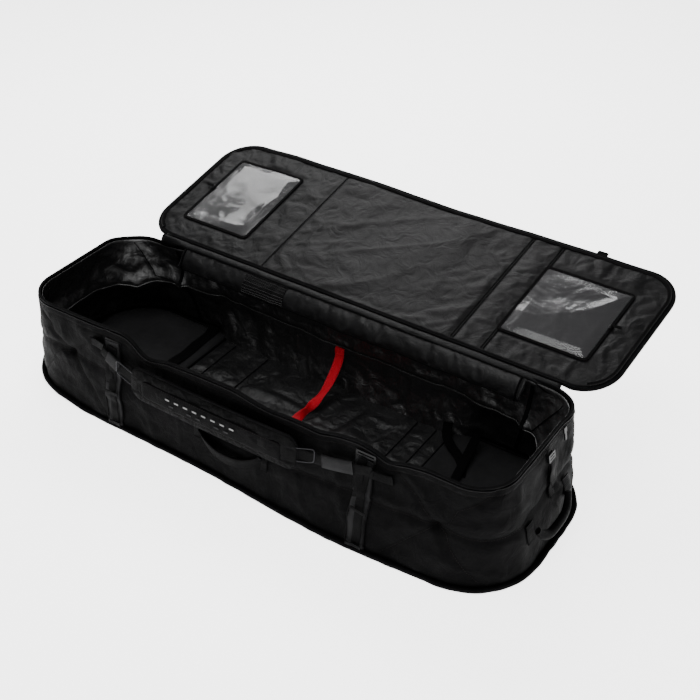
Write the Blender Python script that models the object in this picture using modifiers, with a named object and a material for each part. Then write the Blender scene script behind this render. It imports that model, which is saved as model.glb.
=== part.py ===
"""Soft snowboard bag, lying open: a padded tub, a collapsible rim, and a zip-off lid hinged along the back.

Metres, +Z up. The origin is the middle of the base on the floor. X runs along the length and Y to the back,
where the lid is hinged.
"""

import math

import bmesh
import bpy
from mathutils import Matrix, Vector

# Overall sizes
BASE_LENGTH = 1.600
BASE_WIDTH = 0.530
BASE_CORNER = 0.180
END_TAPER = 0.060
SIDE_TAPER = 0.045
RIM_CORNER = 0.100
HEIGHT = 0.295

# Layers and clearances
GAP = 0.0005
WALL = 0.006
PIPING_RADIUS = 0.004
PIPING_RISE = 0.001
BASE_PANEL = 0.005
BASE_BOARD = 0.005
LINING = 0.0015
FLOOR_PAD = 0.008
FLOOR_INSET = 0.020
FLOOR_PAD_LENGTH = 0.370
WEBBING = 0.002

# Walls: a lower and an upper set, lapped at the crease where the sides fold
FOLD_HEIGHT = 0.150
FOLD_LAP = 0.010
FOLD_CLEARANCE = 0.002
SEAM_FROM_END = 0.200
RIM_BINDING_RADIUS = 0.004
ZIP_TAPE = 0.001
ZIP_TAPE_WIDTH = 0.020
ZIP_TAPE_DROP = 0.012

# Hinge strip along the back, and the breathable patch sewn on it
HINGE_SHIFT = 0.030
HINGE_FROM_END = 0.180
HINGE_STRIP_HEIGHT = 0.060
HINGE_STRIP_THICKNESS = 0.016
PATCH_START = 0.235
PATCH_LENGTH = 0.140
HINGE_OVER_RIM = 0.005
HINGE_BEHIND_RIM = 0.005

# Lid
LID_SHORT_OF_RIM = (0.005, 0.002)
LID_CORNER = 0.095
LID_SHIFT = 0.030
LID_TILT = math.radians(16)
LID_EDGE_TO_HINGE = 0.006
LID_OUTER = 0.0015
LID_FOAM = 0.005
LID_BINDING_RADIUS = 0.005
LID_ZIP_TAPE_WIDTH = 0.014
WINDOW_FRAME_WIDTH = 0.012
WINDOW_FRAME_LAP = 0.003
WINDOW_FILM = 0.0008
WINDOW_CORNER = 0.006
LEFT_WINDOW = (0.225, 0.270)
LEFT_WINDOW_FROM_END = 0.078
LEFT_WINDOW_FROM_HINGE = 0.090
RIGHT_WINDOW = (0.245, 0.245)
RIGHT_WINDOW_FROM_END = 0.096
RIGHT_WINDOW_FROM_HINGE = 0.098

# Padded carry handle on the front
CARRY_HINGE_BELOW_RIM = 0.054
CARRY_PAST_STRAP = 0.005
CARRY_STANDOFF = 0.016
CARRY_PAD_FROM_STRAPS = (0.080, 0.180)
CARRY_PAD_WIDTH = 0.092
CARRY_PAD_BELOW_RIM = 0.059
CARRY_PAD_THICKNESS = 0.014
CARRY_COVER_SHORT_OF_PAD = (0.040, 0.040)
CARRY_COVER_THICKNESS = 0.004
CARRY_STRAP_WIDTH = 0.040
CARRY_TAB_HEIGHT = 0.008
RING_WIRE = 0.0018
RING_SIZE = (0.0072, 0.046)

# Straps, buckles and grab handles
FRONT_STRAP_FROM_END = 0.340
FRONT_STRAP_WIDTH = 0.050
FRONT_STRAP_BELOW_RIM = 0.057
STRAP_STANDOFF = 0.0010
BUCKLE_SIZE = (0.056, 0.0225)
BUCKLE_THICKNESS = 0.0035
BUCKLE_BAR = 0.005
BUCKLE_BELOW_RIM = 0.023
BUCKLE_STANDOFF = 0.0040
GRAB_HALF_SPAN = 0.100
GRAB_TOP = 0.128
GRAB_DROP = 0.036
GRAB_BAND = 0.024
GRAB_THICKNESS = 0.003
GRAB_STANDOFF = 0.001
END_HANDLE_HALF_SPAN = 0.085
END_HANDLE_TOP = 0.112
END_HANDLE_DROP = 0.040
END_HANDLE_RADIUS = 0.011
END_ANCHOR_SIZE = (0.034, 0.040)
END_STRAP_WIDTH = 0.025
END_ADJUSTER_SIZE = (0.032, 0.0225)
END_ADJUSTER_BELOW_RIM = 0.0325
END_STRAP_Y = 0.022

# Straps inside
TIE_FROM_END = 0.300
TIE_WIDTH = 0.038
TIE_BUCKLE_Y = -0.040
TIE_SOCKET = (0.048, 0.046, 0.014)
TIE_PLUG_REACH = 0.026
TIE_PLUG_PLATE = 0.016
TIE_SLOT = (0.036, 0.006)
TIE_SLOT_CLEARANCE = 0.0006
TIE_TAIL = 0.075
TIE_TAIL_FALL = 0.020
LOOP_FROM_END = 0.355
LOOP_HEIGHT = 0.105
LOOP_TWIST = 0.35
# Along X and towards the front from the loop's foot, and the share of its height
LOOP_ROUTE = ((0, 0, 0), (0, 0, 0.6), (0.010, 0.012, 0.9), (0.020, 0.030, 1), (0.030, 0.048, 0.85),
              (0.040, 0.070, 0.4), (0.046, 0.100, 0), (0.050, 0.160, 0))
RED_STEPS = 12
RED_X = 0.035
RED_WIDTH = 0.026
RED_END_HEIGHT = 0.150
RED_LOW = 0.030

# Zip sliders
SLIDER_BODY = (0.014, 0.014)
SLIDER_TAB = (0.008, 0.022)
SLIDER_THICKNESS = 0.004
SLIDER_PARK = 0.015
WINDOW_PULL = (0.009, 0.026)
WINDOW_PULL_THICKNESS = 0.003

CORNER_STEPS = 6
WALL_COLUMNS = 10
TUBE_RESOLUTION = 2

# Sizes that follow from the ones above
RIM_LENGTH = BASE_LENGTH - 2 * END_TAPER
RIM_WIDTH = BASE_WIDTH - 2 * SIDE_TAPER
PANEL_SET_IN = 2 * PIPING_RADIUS + GAP
PANEL_LENGTH = BASE_LENGTH - 2 * PANEL_SET_IN
PANEL_WIDTH = BASE_WIDTH - 2 * PANEL_SET_IN
PANEL_CORNER = BASE_CORNER - PANEL_SET_IN
FLOOR_TOP = BASE_PANEL + BASE_BOARD + LINING + 2 * GAP
PAD_TOP = FLOOR_TOP + GAP + FLOOR_PAD
WALL_TOP = HEIGHT - 2 * RIM_BINDING_RADIUS - GAP
SEAM_X = RIM_LENGTH / 2 - SEAM_FROM_END
FRONT_SLOPE = math.atan2(HEIGHT, (PANEL_WIDTH - RIM_WIDTH) / 2)
END_SLOPE = math.atan2(HEIGHT, (PANEL_LENGTH - RIM_LENGTH) / 2)
HINGE_Y = RIM_WIDTH / 2 + HINGE_BEHIND_RIM
HINGE_Z = HEIGHT + HINGE_OVER_RIM
CARRY_HINGE_HEIGHT = HEIGHT - CARRY_HINGE_BELOW_RIM
CARRY_PAD_TOP = HEIGHT - CARRY_PAD_BELOW_RIM
FRONT_STRAP_TOP = HEIGHT - FRONT_STRAP_BELOW_RIM
BUCKLE_TOP = HEIGHT - BUCKLE_BELOW_RIM
END_ADJUSTER_TOP = HEIGHT - END_ADJUSTER_BELOW_RIM
HINGE_LENGTH = RIM_LENGTH - 2 * HINGE_FROM_END
LID_LENGTH = RIM_LENGTH - LID_SHORT_OF_RIM[0]
LID_WIDTH = RIM_WIDTH - LID_SHORT_OF_RIM[1]
FRONT_STRAP_X = RIM_LENGTH / 2 - FRONT_STRAP_FROM_END
CARRY_HALF_SPAN = FRONT_STRAP_X + CARRY_PAST_STRAP
CARRY_PAD_SIZE = (2 * FRONT_STRAP_X - sum(CARRY_PAD_FROM_STRAPS), CARRY_PAD_WIDTH)
CARRY_PAD_SHIFT = (CARRY_PAD_FROM_STRAPS[0] - CARRY_PAD_FROM_STRAPS[1]) / 2
CARRY_COVER_SIZE = tuple(a - b for a, b in zip(CARRY_PAD_SIZE, CARRY_COVER_SHORT_OF_PAD))
TIE_X = TIE_FROM_END - RIM_LENGTH / 2
LOOP_X = RIM_LENGTH / 2 - LOOP_FROM_END


# ---------------------------------------------------------------- materials

def material(name, colour, roughness, metallic=0.0, alpha=1.0):
    made = bpy.data.materials.get(name)
    if made:
        return made
    made = bpy.data.materials.new(name)
    made.use_nodes = True
    shader = made.node_tree.nodes["Principled BSDF"]
    shader.inputs["Base Color"].default_value = (*colour, 1.0)
    shader.inputs["Roughness"].default_value = roughness
    shader.inputs["Metallic"].default_value = metallic
    shader.inputs["Alpha"].default_value = alpha
    return made


def shell_fabric():
    return material("shell_fabric", (0.012, 0.012, 0.013), 0.62)


def lining_fabric():
    return material("lining_fabric", (0.018, 0.018, 0.019), 0.38)


def lid_lining_fabric():
    return material("lid_lining_fabric", (0.040, 0.040, 0.042), 0.42)


def webbing_black():
    return material("webbing_black", (0.014, 0.014, 0.015), 0.75)


def webbing_red():
    return material("webbing_red", (0.62, 0.012, 0.025), 0.70)


def binding_tape():
    return material("binding_tape", (0.010, 0.010, 0.011), 0.70)


def buckle_plastic():
    return material("buckle_plastic", (0.015, 0.015, 0.016), 0.40)


def ring_metal():
    return material("ring_metal", (0.12, 0.12, 0.125), 0.35, metallic=1.0)


def clear_film():
    return material("clear_film", (0.75, 0.78, 0.80), 0.08, alpha=0.30)


def foam_board():
    return material("foam_board", (0.10, 0.10, 0.11), 0.85)


def mesh_net():
    return material("mesh_net", (0.020, 0.020, 0.021), 0.80)


# ------------------------------------------------------------- small helpers

def place(obj, parent, finish):
    """Puts an object in the bag's collection, under its parent empty, with its material."""
    bpy.data.collections["snowboard_bag"].objects.link(obj)
    obj.data.materials.append(finish)
    obj.parent = parent
    return obj


def pivot(name, location, rotation=None, parent=None):
    empty = bpy.data.objects.new(name, None)
    empty.empty_display_size = 0.05
    bpy.data.collections["snowboard_bag"].objects.link(empty)
    empty.parent = parent
    empty.location = location
    if rotation:
        empty.rotation_euler = rotation
    return empty


def rounded_rectangle(length, width, radius, centre=(0.0, 0.0), steps=CORNER_STEPS):
    """Outline points, anticlockwise from the right end's front corner."""
    radius = min(radius, length / 2 - GAP, width / 2 - GAP)
    corners = ((1, -1, -90), (1, 1, 0), (-1, 1, 90), (-1, -1, 180))
    points = []
    for side_x, side_y, start in corners:
        middle_x = centre[0] + side_x * (length / 2 - radius)
        middle_y = centre[1] + side_y * (width / 2 - radius)
        for step in range(steps + 1):
            angle = math.radians(start + 90 * step / steps)
            points.append((middle_x + radius * math.cos(angle), middle_y + radius * math.sin(angle)))
    return points


def sheet(name, outlines, bottom, top, parent, finish, rotation=(0, 0, 0), location=(0, 0, 0)):
    """A flat piece: outlines in its own plane, the first one outside and the others holes."""
    curve = bpy.data.curves.new(name, "CURVE")
    curve.dimensions = "2D"
    curve.fill_mode = "BOTH"
    curve.extrude = (top - bottom) / 2
    for outline in outlines:
        spline = curve.splines.new("POLY")
        spline.points.add(len(outline) - 1)
        for point, (x, y) in zip(spline.points, outline):
            point.co = (x, y, 0.0, 1.0)
        spline.use_cyclic_u = True
    piece = bpy.data.objects.new(name, curve)
    place(piece, parent, finish)
    turn = Matrix.Rotation(rotation[2], 3, "Z") @ Matrix.Rotation(rotation[0], 3, "X")
    piece.rotation_euler = turn.to_euler()
    piece.location = Vector(location) + turn @ Vector((0, 0, (top + bottom) / 2))
    return piece


def shell(name, rows, thickness, parent, finish, offset=-1.0, closed=False):
    """An open surface through rows of points, given a thickness; its faces point out."""
    mesh = bpy.data.meshes.new(name)
    work = bmesh.new()
    made = [[work.verts.new(point) for point in row] for row in rows]
    for low, high in zip(made, made[1:]):
        count = len(low)
        last = count if closed else count - 1
        for i in range(last):
            j = (i + 1) % count
            work.faces.new((low[i], low[j], high[j], high[i]))
    work.to_mesh(mesh)
    work.free()
    piece = bpy.data.objects.new(name, mesh)
    place(piece, parent, finish)
    thick = piece.modifiers.new("thickness", "SOLIDIFY")
    thick.thickness = thickness
    thick.offset = offset
    thick.use_even_offset = True
    return piece


def ribbon(name, centreline, across, width, thickness, parent, finish):
    """Flat webbing along a line of points, as wide as width along the direction across."""
    side = Vector(across).normalized() * width / 2
    rows = [[Vector(point) - side for point in centreline], [Vector(point) + side for point in centreline]]
    return shell(name, rows, thickness, parent, finish, offset=0.0)


def tube(name, points, radius, parent, finish, cyclic=False):
    curve = bpy.data.curves.new(name, "CURVE")
    curve.dimensions = "3D"
    curve.bevel_depth = radius
    curve.bevel_resolution = TUBE_RESOLUTION
    curve.use_fill_caps = not cyclic
    spline = curve.splines.new("POLY")
    spline.points.add(len(points) - 1)
    for point, place_at in zip(spline.points, points):
        point.co = (*place_at, 1.0)
    spline.use_cyclic_u = cyclic
    return place(bpy.data.objects.new(name, curve), parent, finish)


def box(name, size, centre, parent, finish):
    bpy.ops.mesh.primitive_cube_add(size=1.0)
    piece = bpy.context.object
    bpy.context.collection.objects.unlink(piece)
    piece.name = piece.data.name = name
    piece.data.transform(Matrix.Diagonal((*size, 1.0)))
    place(piece, parent, finish)
    piece.location = centre
    return piece


def cutter(name, size, centre):
    """A box that only cuts."""
    bpy.ops.mesh.primitive_cube_add(size=1.0)
    piece = bpy.context.object
    bpy.context.collection.objects.unlink(piece)
    piece.name = piece.data.name = name
    piece.data.transform(Matrix.Diagonal((*size, 1.0)))
    bpy.data.collections["cutters"].objects.link(piece)
    piece.location = centre
    piece.hide_render = True
    piece.display_type = "WIRE"
    return piece


def cut(piece, tool):
    boolean = piece.modifiers.new("cut", "BOOLEAN")
    boolean.operation = "DIFFERENCE"
    boolean.object = tool


# ------------------------------------------------------------- wall sections

def section(height, inset=0.0):
    """Half-length, half-width and corner radius of the tub's outside at a height."""
    share = height / HEIGHT
    half_length = PANEL_LENGTH / 2 + share * (RIM_LENGTH - PANEL_LENGTH) / 2
    half_width = PANEL_WIDTH / 2 + share * (RIM_WIDTH - PANEL_WIDTH) / 2
    corner = PANEL_CORNER + share * (RIM_CORNER - PANEL_CORNER)
    return half_length - inset, half_width - inset, corner - inset


def upper_inset(height):
    """How far the upper walls stand inside the tub's outside, so that they can slide down in the lower ones."""
    return (WALL + FOLD_CLEARANCE) * (HEIGHT - height) / (HEIGHT - FOLD_HEIGHT)


def long_side(height, inset, side):
    """Points along the front (side -1) or the back (side 1), in the order that turns the faces outward."""
    reach = SEAM_X - GAP
    half_width = section(height, inset)[1]
    steps = [-reach + 2 * reach * i / WALL_COLUMNS for i in range(WALL_COLUMNS + 1)]
    return [Vector((-side * x, side * half_width, height)) for x in steps]


def end_side(height, inset, side, seam=SEAM_X + GAP):
    """Points round the right end (side 1) or the left end (side -1), both corners included."""
    half_length, half_width, corner = section(height, inset)
    points = [Vector((seam, -half_width, height))]
    for side_y, start in ((-1, -90), (1, 0)):
        for step in range(CORNER_STEPS + 1):
            angle = math.radians(start + 90 * step / CORNER_STEPS)
            x = half_length - corner + corner * math.cos(angle)
            y = side_y * (half_width - corner) + corner * math.sin(angle)
            points.append(Vector((x, y, height)))
    points.append(Vector((seam, half_width, height)))
    if side < 0:
        points = [Vector((-p.x, -p.y, p.z)) for p in points]
    return points


def ring(height, inset):
    half_length, half_width, corner = section(height, inset)
    return [(x, y, height) for x, y in rounded_rectangle(2 * half_length, 2 * half_width, corner)]


def on_front(x, height, standoff):
    """A point in front of the front wall, at a distance square to it."""
    outward = Vector((0, -math.sin(FRONT_SLOPE), math.cos(FRONT_SLOPE)))
    return Vector((x, -section(height)[1], height)) + outward * standoff


def on_end(y, height, standoff, side):
    outward = Vector((side * math.sin(END_SLOPE), 0, math.cos(END_SLOPE)))
    return Vector((side * section(height)[0], y, height)) + outward * standoff


# ---------------------------------------------------------------------- tub

def base(tub):
    outline = rounded_rectangle(PANEL_LENGTH, PANEL_WIDTH, PANEL_CORNER)
    sheet("base_panel", [outline], 0.0, BASE_PANEL, tub, shell_fabric())
    inner = section(BASE_PANEL, FLOOR_INSET)
    floor = rounded_rectangle(2 * inner[0], 2 * inner[1], inner[2])
    board_bottom = BASE_PANEL + GAP
    board_top = board_bottom + BASE_BOARD
    sheet("base_board", [floor], board_bottom, board_top, tub, foam_board())
    sheet("floor_lining", [floor], board_top + GAP, FLOOR_TOP, tub, lining_fabric())
    piping_path = rounded_rectangle(BASE_LENGTH - 2 * PIPING_RADIUS, BASE_WIDTH - 2 * PIPING_RADIUS,
                                    BASE_CORNER - PIPING_RADIUS)
    height = PIPING_RADIUS + PIPING_RISE
    tube("base_piping", [(x, y, height) for x, y in piping_path], PIPING_RADIUS, tub, binding_tape(),
         cyclic=True)


def floor_pads(tub):
    """Padded mats at both ends of the floor, each with its round corners towards the end."""
    half_length, half_width, corner = section(PAD_TOP, FLOOR_INSET + WALL)
    for name, side in (("floor_pad_left", -1), ("floor_pad_right", 1)):
        start = half_length - FLOOR_PAD_LENGTH
        outline = [(start, -half_width)]
        for side_y, first in ((-1, -90), (1, 0)):
            for step in range(CORNER_STEPS + 1):
                angle = math.radians(first + 90 * step / CORNER_STEPS)
                x = half_length - corner + corner * math.cos(angle)
                outline.append((x, side_y * (half_width - corner) + corner * math.sin(angle)))
        outline.append((start, half_width))
        if side < 0:
            outline = [(-x, -y) for x, y in outline]
        sheet(name, [outline], FLOOR_TOP + GAP, PAD_TOP, tub, webbing_black())


def lower_walls(tub):
    foot = BASE_PANEL + GAP + WALL * math.cos(END_SLOPE)
    heights = (foot, FOLD_HEIGHT / 2, FOLD_HEIGHT)
    for name, side in (("lower_wall_front", -1), ("lower_wall_back", 1)):
        shell(name, [long_side(z, 0.0, side) for z in heights], WALL, tub, shell_fabric())
    for name, side in (("lower_wall_left", -1), ("lower_wall_right", 1)):
        shell(name, [end_side(z, 0.0, side) for z in heights], WALL, tub, shell_fabric())


def front_straps(tub):
    """Compression straps up the front, sewn in at the base; they crumple when the sides fold."""
    low = 2 * PIPING_RADIUS + PIPING_RISE + WEBBING
    heights = [low + (FRONT_STRAP_TOP - low) * i / 4 for i in range(5)]
    for name, side in (("front_strap_left", -1), ("front_strap_right", 1)):
        line = [on_front(side * FRONT_STRAP_X, z, STRAP_STANDOFF + WEBBING / 2) for z in heights]
        ribbon(name, line, (1, 0, 0), FRONT_STRAP_WIDTH, WEBBING, tub, webbing_black())


def end_strap(tub):
    """The webbing that runs down the right end from the adjuster to the end handle."""
    low = END_HANDLE_TOP + END_ANCHOR_SIZE[1] / 2 + GAP
    heights = [low + (FRONT_STRAP_TOP - low) * i / 3 for i in range(4)]
    line = [on_end(END_STRAP_Y, z, STRAP_STANDOFF + WEBBING / 2, 1) for z in heights]
    ribbon("end_strap_right", line, (0, 1, 0), END_STRAP_WIDTH, WEBBING, tub, webbing_black())


def end_anchors(tub):
    """The sewn patches that the end handles loop through."""
    for end, side in (("left", -1), ("right", 1)):
        for place_name, side_y in (("front", -1), ("back", 1)):
            centre_y = side_y * (END_HANDLE_HALF_SPAN + END_ANCHOR_SIZE[0] / 2 + GAP)
            heights = (END_HANDLE_TOP - END_ANCHOR_SIZE[1] / 2, END_HANDLE_TOP + END_ANCHOR_SIZE[1] / 2)
            line = [on_end(centre_y, z, STRAP_STANDOFF + WEBBING / 2, side) for z in heights]
            name = "end_anchor_" + end + "_" + place_name
            ribbon(name, line, (0, 1, 0), END_ANCHOR_SIZE[0], WEBBING, tub, webbing_black())


def tie_down(tub):
    """The strap across the floor that holds the board, with its socket."""
    strap_z = PAD_TOP + GAP + WEBBING / 2
    socket_back = TIE_BUCKLE_Y + TIE_SOCKET[1] / 2
    back_reach = section(PAD_TOP, FLOOR_INSET + WALL)[1] - GAP
    line = [(TIE_X, socket_back + GAP, strap_z), (TIE_X, back_reach / 2, strap_z), (TIE_X, back_reach, strap_z)]
    ribbon("tie_down_strap", line, (1, 0, 0), TIE_WIDTH, WEBBING, tub, webbing_black())
    middle_z = PAD_TOP + GAP + TIE_SOCKET[2] / 2
    socket = box("tie_down_socket", TIE_SOCKET, (TIE_X, TIE_BUCKLE_Y, middle_z), tub, buckle_plastic())
    depth = TIE_PLUG_REACH + TIE_SLOT_CLEARANCE
    slot_size = (TIE_SLOT[0], 2 * depth, TIE_SLOT[1])
    mouth_y = TIE_BUCKLE_Y - TIE_SOCKET[1] / 2
    cut(socket, cutter("tie_slot_cutter", slot_size, (TIE_X, mouth_y, middle_z)))


def tie_plug(plug):
    """The plug end of the buckle: prongs in the socket, a plate outside it and its own strap."""
    middle_z = PAD_TOP + GAP + TIE_SOCKET[2] / 2
    half_neck = TIE_SLOT[0] / 2 - TIE_SLOT_CLEARANCE
    half_plate = TIE_SOCKET[0] / 2
    plate_edge = -TIE_SLOT_CLEARANCE
    outline = [(-half_neck, plate_edge), (-half_neck, TIE_PLUG_REACH), (half_neck, TIE_PLUG_REACH),
               (half_neck, plate_edge), (half_plate, plate_edge), (half_plate, plate_edge - TIE_PLUG_PLATE),
               (-half_plate, plate_edge - TIE_PLUG_PLATE), (-half_plate, plate_edge)]
    outline = [(x, y) for x, y in reversed(outline)]
    half_thick = TIE_SLOT[1] / 2 - TIE_SLOT_CLEARANCE
    sheet("tie_down_plug", [outline], -half_thick, half_thick, plug, buckle_plastic())
    strap_start = plate_edge - TIE_PLUG_PLATE - GAP
    strap_end = strap_start - TIE_TAIL
    drop = PAD_TOP + GAP + WEBBING / 2 - middle_z
    line = [(0, strap_start, 0), (0, strap_start - TIE_TAIL_FALL, drop), (0, strap_end, drop)]
    ribbon("tie_down_plug_strap", line, (1, 0, 0), TIE_WIDTH, WEBBING, plug, webbing_black())


def loop_strap(tub):
    """The slack tie-down at the right: a webbing loop that stands up by the back wall."""
    floor_z = PAD_TOP + GAP + WEBBING
    back = section(FOLD_HEIGHT, WALL + FOLD_CLEARANCE)[1] - 4 * WALL
    across = Vector((1, LOOP_TWIST, 0))
    rise = [Vector((LOOP_X + along, back - forward, floor_z + LOOP_HEIGHT * share))
            for along, forward, share in LOOP_ROUTE]
    ribbon("tie_down_loop", rise, across, TIE_WIDTH * 0.8, WEBBING, tub, webbing_black())


def red_strap(tub):
    """The red strap that sags from the back crease to the front one."""
    reach = section(RED_END_HEIGHT, upper_inset(RED_END_HEIGHT) + WALL)[1] - 3 * WEBBING
    line = []
    for i in range(RED_STEPS + 1):
        y = reach * (1 - 2 * i / RED_STEPS)
        line.append((RED_X, y, RED_LOW + (RED_END_HEIGHT - RED_LOW) * (abs(y) / reach) ** 2))
    ribbon("red_strap", line, (1, 0, 0), RED_WIDTH, WEBBING, tub, webbing_red())


# ---------------------------------------------------------------------- rim

def upper_walls(rim):
    heights = (FOLD_HEIGHT - FOLD_LAP, (FOLD_HEIGHT + WALL_TOP) / 2, WALL_TOP)
    for name, side in (("upper_wall_front", -1), ("upper_wall_back", 1)):
        rows = [long_side(z, upper_inset(z), side) for z in heights]
        shell(name, rows, WALL, rim, shell_fabric())
    for name, side in (("upper_wall_left", -1), ("upper_wall_right", 1)):
        rows = [end_side(z, upper_inset(z), side) for z in heights]
        shell(name, rows, WALL, rim, shell_fabric())


def rim_edge(rim):
    height = HEIGHT - RIM_BINDING_RADIUS
    path = ring(height, WALL / 2)
    tube("rim_binding", path, RIM_BINDING_RADIUS, rim, binding_tape(), cyclic=True)
    top = HEIGHT - ZIP_TAPE_DROP
    heights = (top - ZIP_TAPE_WIDTH, top)
    rows = []
    for z in heights:
        stand = -GAP
        right = end_side(z, stand, 1, SEAM_X)
        left = end_side(z, stand, -1, SEAM_X)
        rows.append(left + right)
    shell("rim_zip_tape", rows, ZIP_TAPE, rim, binding_tape(), offset=1.0)


def hinge_strip(rim):
    """The padded strip inside the top of the back wall, with a breathable patch on it."""
    top = HEIGHT - 2 * RIM_BINDING_RADIUS - 2 * GAP
    bottom = top - HINGE_STRIP_HEIGHT
    back = section(top, upper_inset(top) + WALL)[1] - 2 * GAP
    low_back = section(bottom, upper_inset(bottom) + WALL)[1] - 2 * GAP
    lean = math.atan2(HINGE_STRIP_HEIGHT, low_back - back)
    outline = rounded_rectangle(HINGE_LENGTH, HINGE_STRIP_HEIGHT, HINGE_STRIP_HEIGHT / 3,
                                (HINGE_SHIFT, HINGE_STRIP_HEIGHT / 2))
    turn = (math.pi - lean, 0, 0)
    sheet("hinge_strip", [outline], GAP, GAP + HINGE_STRIP_THICKNESS, rim, lining_fabric(),
          rotation=turn, location=(0, low_back, bottom))
    patch_low = HINGE_SHIFT - HINGE_LENGTH / 2 + PATCH_START
    patch = rounded_rectangle(PATCH_LENGTH, HINGE_STRIP_HEIGHT - 4 * WEBBING, WEBBING,
                              (patch_low + PATCH_LENGTH / 2, HINGE_STRIP_HEIGHT / 2), steps=2)
    face = 2 * GAP + HINGE_STRIP_THICKNESS
    sheet("mesh_patch", [patch], face, face + LINING, rim, mesh_net(), rotation=turn,
          location=(0, low_back, bottom))


def carry_anchors(rim):
    """Webbing tabs under the rim that the carry handle hangs from."""
    tab_low = CARRY_HINGE_HEIGHT - CARRY_TAB_HEIGHT / 2
    tab_high = CARRY_HINGE_HEIGHT + CARRY_TAB_HEIGHT / 2
    for name, side in (("carry_anchor_left", -1), ("carry_anchor_right", 1)):
        size = (FRONT_STRAP_WIDTH, tab_high - tab_low)
        outline = rounded_rectangle(size[0], size[1], WEBBING, steps=2)
        middle = on_front(side * (CARRY_HALF_SPAN + FRONT_STRAP_WIDTH), (tab_low + tab_high) / 2, 0)
        sheet(name, [outline], STRAP_STANDOFF, STRAP_STANDOFF + CARRY_STANDOFF + WEBBING, rim,
              webbing_black(), rotation=(FRONT_SLOPE, 0, 0), location=middle)


# ---------------------------------------------------------------------- lid

def lid(hinge):
    """The lid lies open, its lining up. Its own plane has X along the bag and Y away from the hinge."""
    edge = 2 * LID_BINDING_RADIUS + GAP
    middle_y = LID_EDGE_TO_HINGE + LID_WIDTH / 2
    outline = rounded_rectangle(LID_LENGTH - 2 * edge, LID_WIDTH - 2 * edge, LID_CORNER - edge,
                                (LID_SHIFT, middle_y))
    windows = window_places()
    lining_top = -GAP
    foam_top = lining_top - LINING - GAP
    outer_top = foam_top - LID_FOAM - GAP
    sheet("lid_outer_panel", [outline], outer_top - LID_OUTER, outer_top, hinge, shell_fabric())
    sheet("lid_foam", [outline], outer_top + GAP, foam_top, hinge, foam_board())
    holes = [rounded_rectangle(size[0], size[1], WINDOW_CORNER, centre, steps=3)
             for name, size, centre in windows]
    sheet("lid_lining", [outline] + holes, lining_top - LINING, lining_top, hinge, lid_lining_fabric())
    path = rounded_rectangle(LID_LENGTH - 2 * LID_BINDING_RADIUS, LID_WIDTH - 2 * LID_BINDING_RADIUS,
                             LID_CORNER - LID_BINDING_RADIUS, (LID_SHIFT, middle_y))
    binding_z = outer_top + LID_FOAM / 2
    tube("lid_binding", [(x, y, binding_z) for x, y in path], LID_BINDING_RADIUS, hinge, binding_tape(),
         cyclic=True)
    lid_zip_tape(hinge, edge, middle_y)
    for name, size, centre in windows:
        window(hinge, name, size, centre, lining_top)
    tab = rounded_rectangle(0.030, 0.016, 0.004,
                            (LID_SHIFT + LID_LENGTH / 2 - 2 * LID_CORNER, LID_EDGE_TO_HINGE + LID_WIDTH + 0.009),
                            steps=3)
    sheet("lid_pull_tab", [tab], binding_z, binding_z + WEBBING, hinge, webbing_black())


def window_places():
    left_end = LID_SHIFT - LID_LENGTH / 2
    right_end = LID_SHIFT + LID_LENGTH / 2
    left = (left_end + LEFT_WINDOW_FROM_END + LEFT_WINDOW[0] / 2, LEFT_WINDOW_FROM_HINGE + LEFT_WINDOW[1] / 2)
    right = (right_end - RIGHT_WINDOW_FROM_END - RIGHT_WINDOW[0] / 2,
             RIGHT_WINDOW_FROM_HINGE + RIGHT_WINDOW[1] / 2)
    return (("left", LEFT_WINDOW, left), ("right", RIGHT_WINDOW, right))


def window(hinge, name, size, centre, lining_top):
    """A clear pocket film set in the lining's hole, under a tape frame."""
    film_size = (size[0] - 2 * GAP, size[1] - 2 * GAP)
    film = rounded_rectangle(film_size[0], film_size[1], WINDOW_CORNER - GAP, centre, steps=3)
    sheet("window_film_" + name, [film], lining_top - WINDOW_FILM, lining_top, hinge, clear_film())
    outer = rounded_rectangle(size[0] + 2 * WINDOW_FRAME_WIDTH - 2 * WINDOW_FRAME_LAP,
                              size[1] + 2 * WINDOW_FRAME_WIDTH - 2 * WINDOW_FRAME_LAP,
                              WINDOW_CORNER, centre, steps=3)
    inner = rounded_rectangle(size[0] - 2 * WINDOW_FRAME_LAP, size[1] - 2 * WINDOW_FRAME_LAP,
                              WINDOW_CORNER, centre, steps=3)
    sheet("window_frame_" + name, [outer, inner], lining_top + GAP, lining_top + GAP + WEBBING / 2, hinge,
          binding_tape())


def lid_zip_tape(hinge, edge, middle_y):
    """Half of the main zip, along the lid's three free sides."""
    half_length = LID_LENGTH / 2 - edge
    near = LID_EDGE_TO_HINGE + edge + LID_CORNER
    far = LID_EDGE_TO_HINGE + LID_WIDTH - edge
    corner = LID_CORNER - edge
    outline = []
    for inset, order in ((0.0, 1), (LID_ZIP_TAPE_WIDTH, -1)):
        radius = corner - inset
        side = [(LID_SHIFT + half_length - inset, near)]
        for middle_x, start in ((half_length - corner, 0), (-half_length + corner, 90)):
            for step in range(CORNER_STEPS + 1):
                angle = math.radians(start + 90 * step / CORNER_STEPS)
                side.append((LID_SHIFT + middle_x + radius * math.cos(angle),
                             far - corner + radius * math.sin(angle)))
        side.append((LID_SHIFT - half_length + inset, near))
        outline += side[::order]
    sheet("lid_zip_tape", [outline], 0.0, ZIP_TAPE, hinge, binding_tape())


def window_pull(name, slide):
    outline = rounded_rectangle(WINDOW_PULL[0], WINDOW_PULL[1], WINDOW_PULL[0] / 3, steps=3)
    sheet(name, [outline], 0.0, WINDOW_PULL_THICKNESS, slide, buckle_plastic())


# -------------------------------------------------- handles, buckles, sliders

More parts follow.
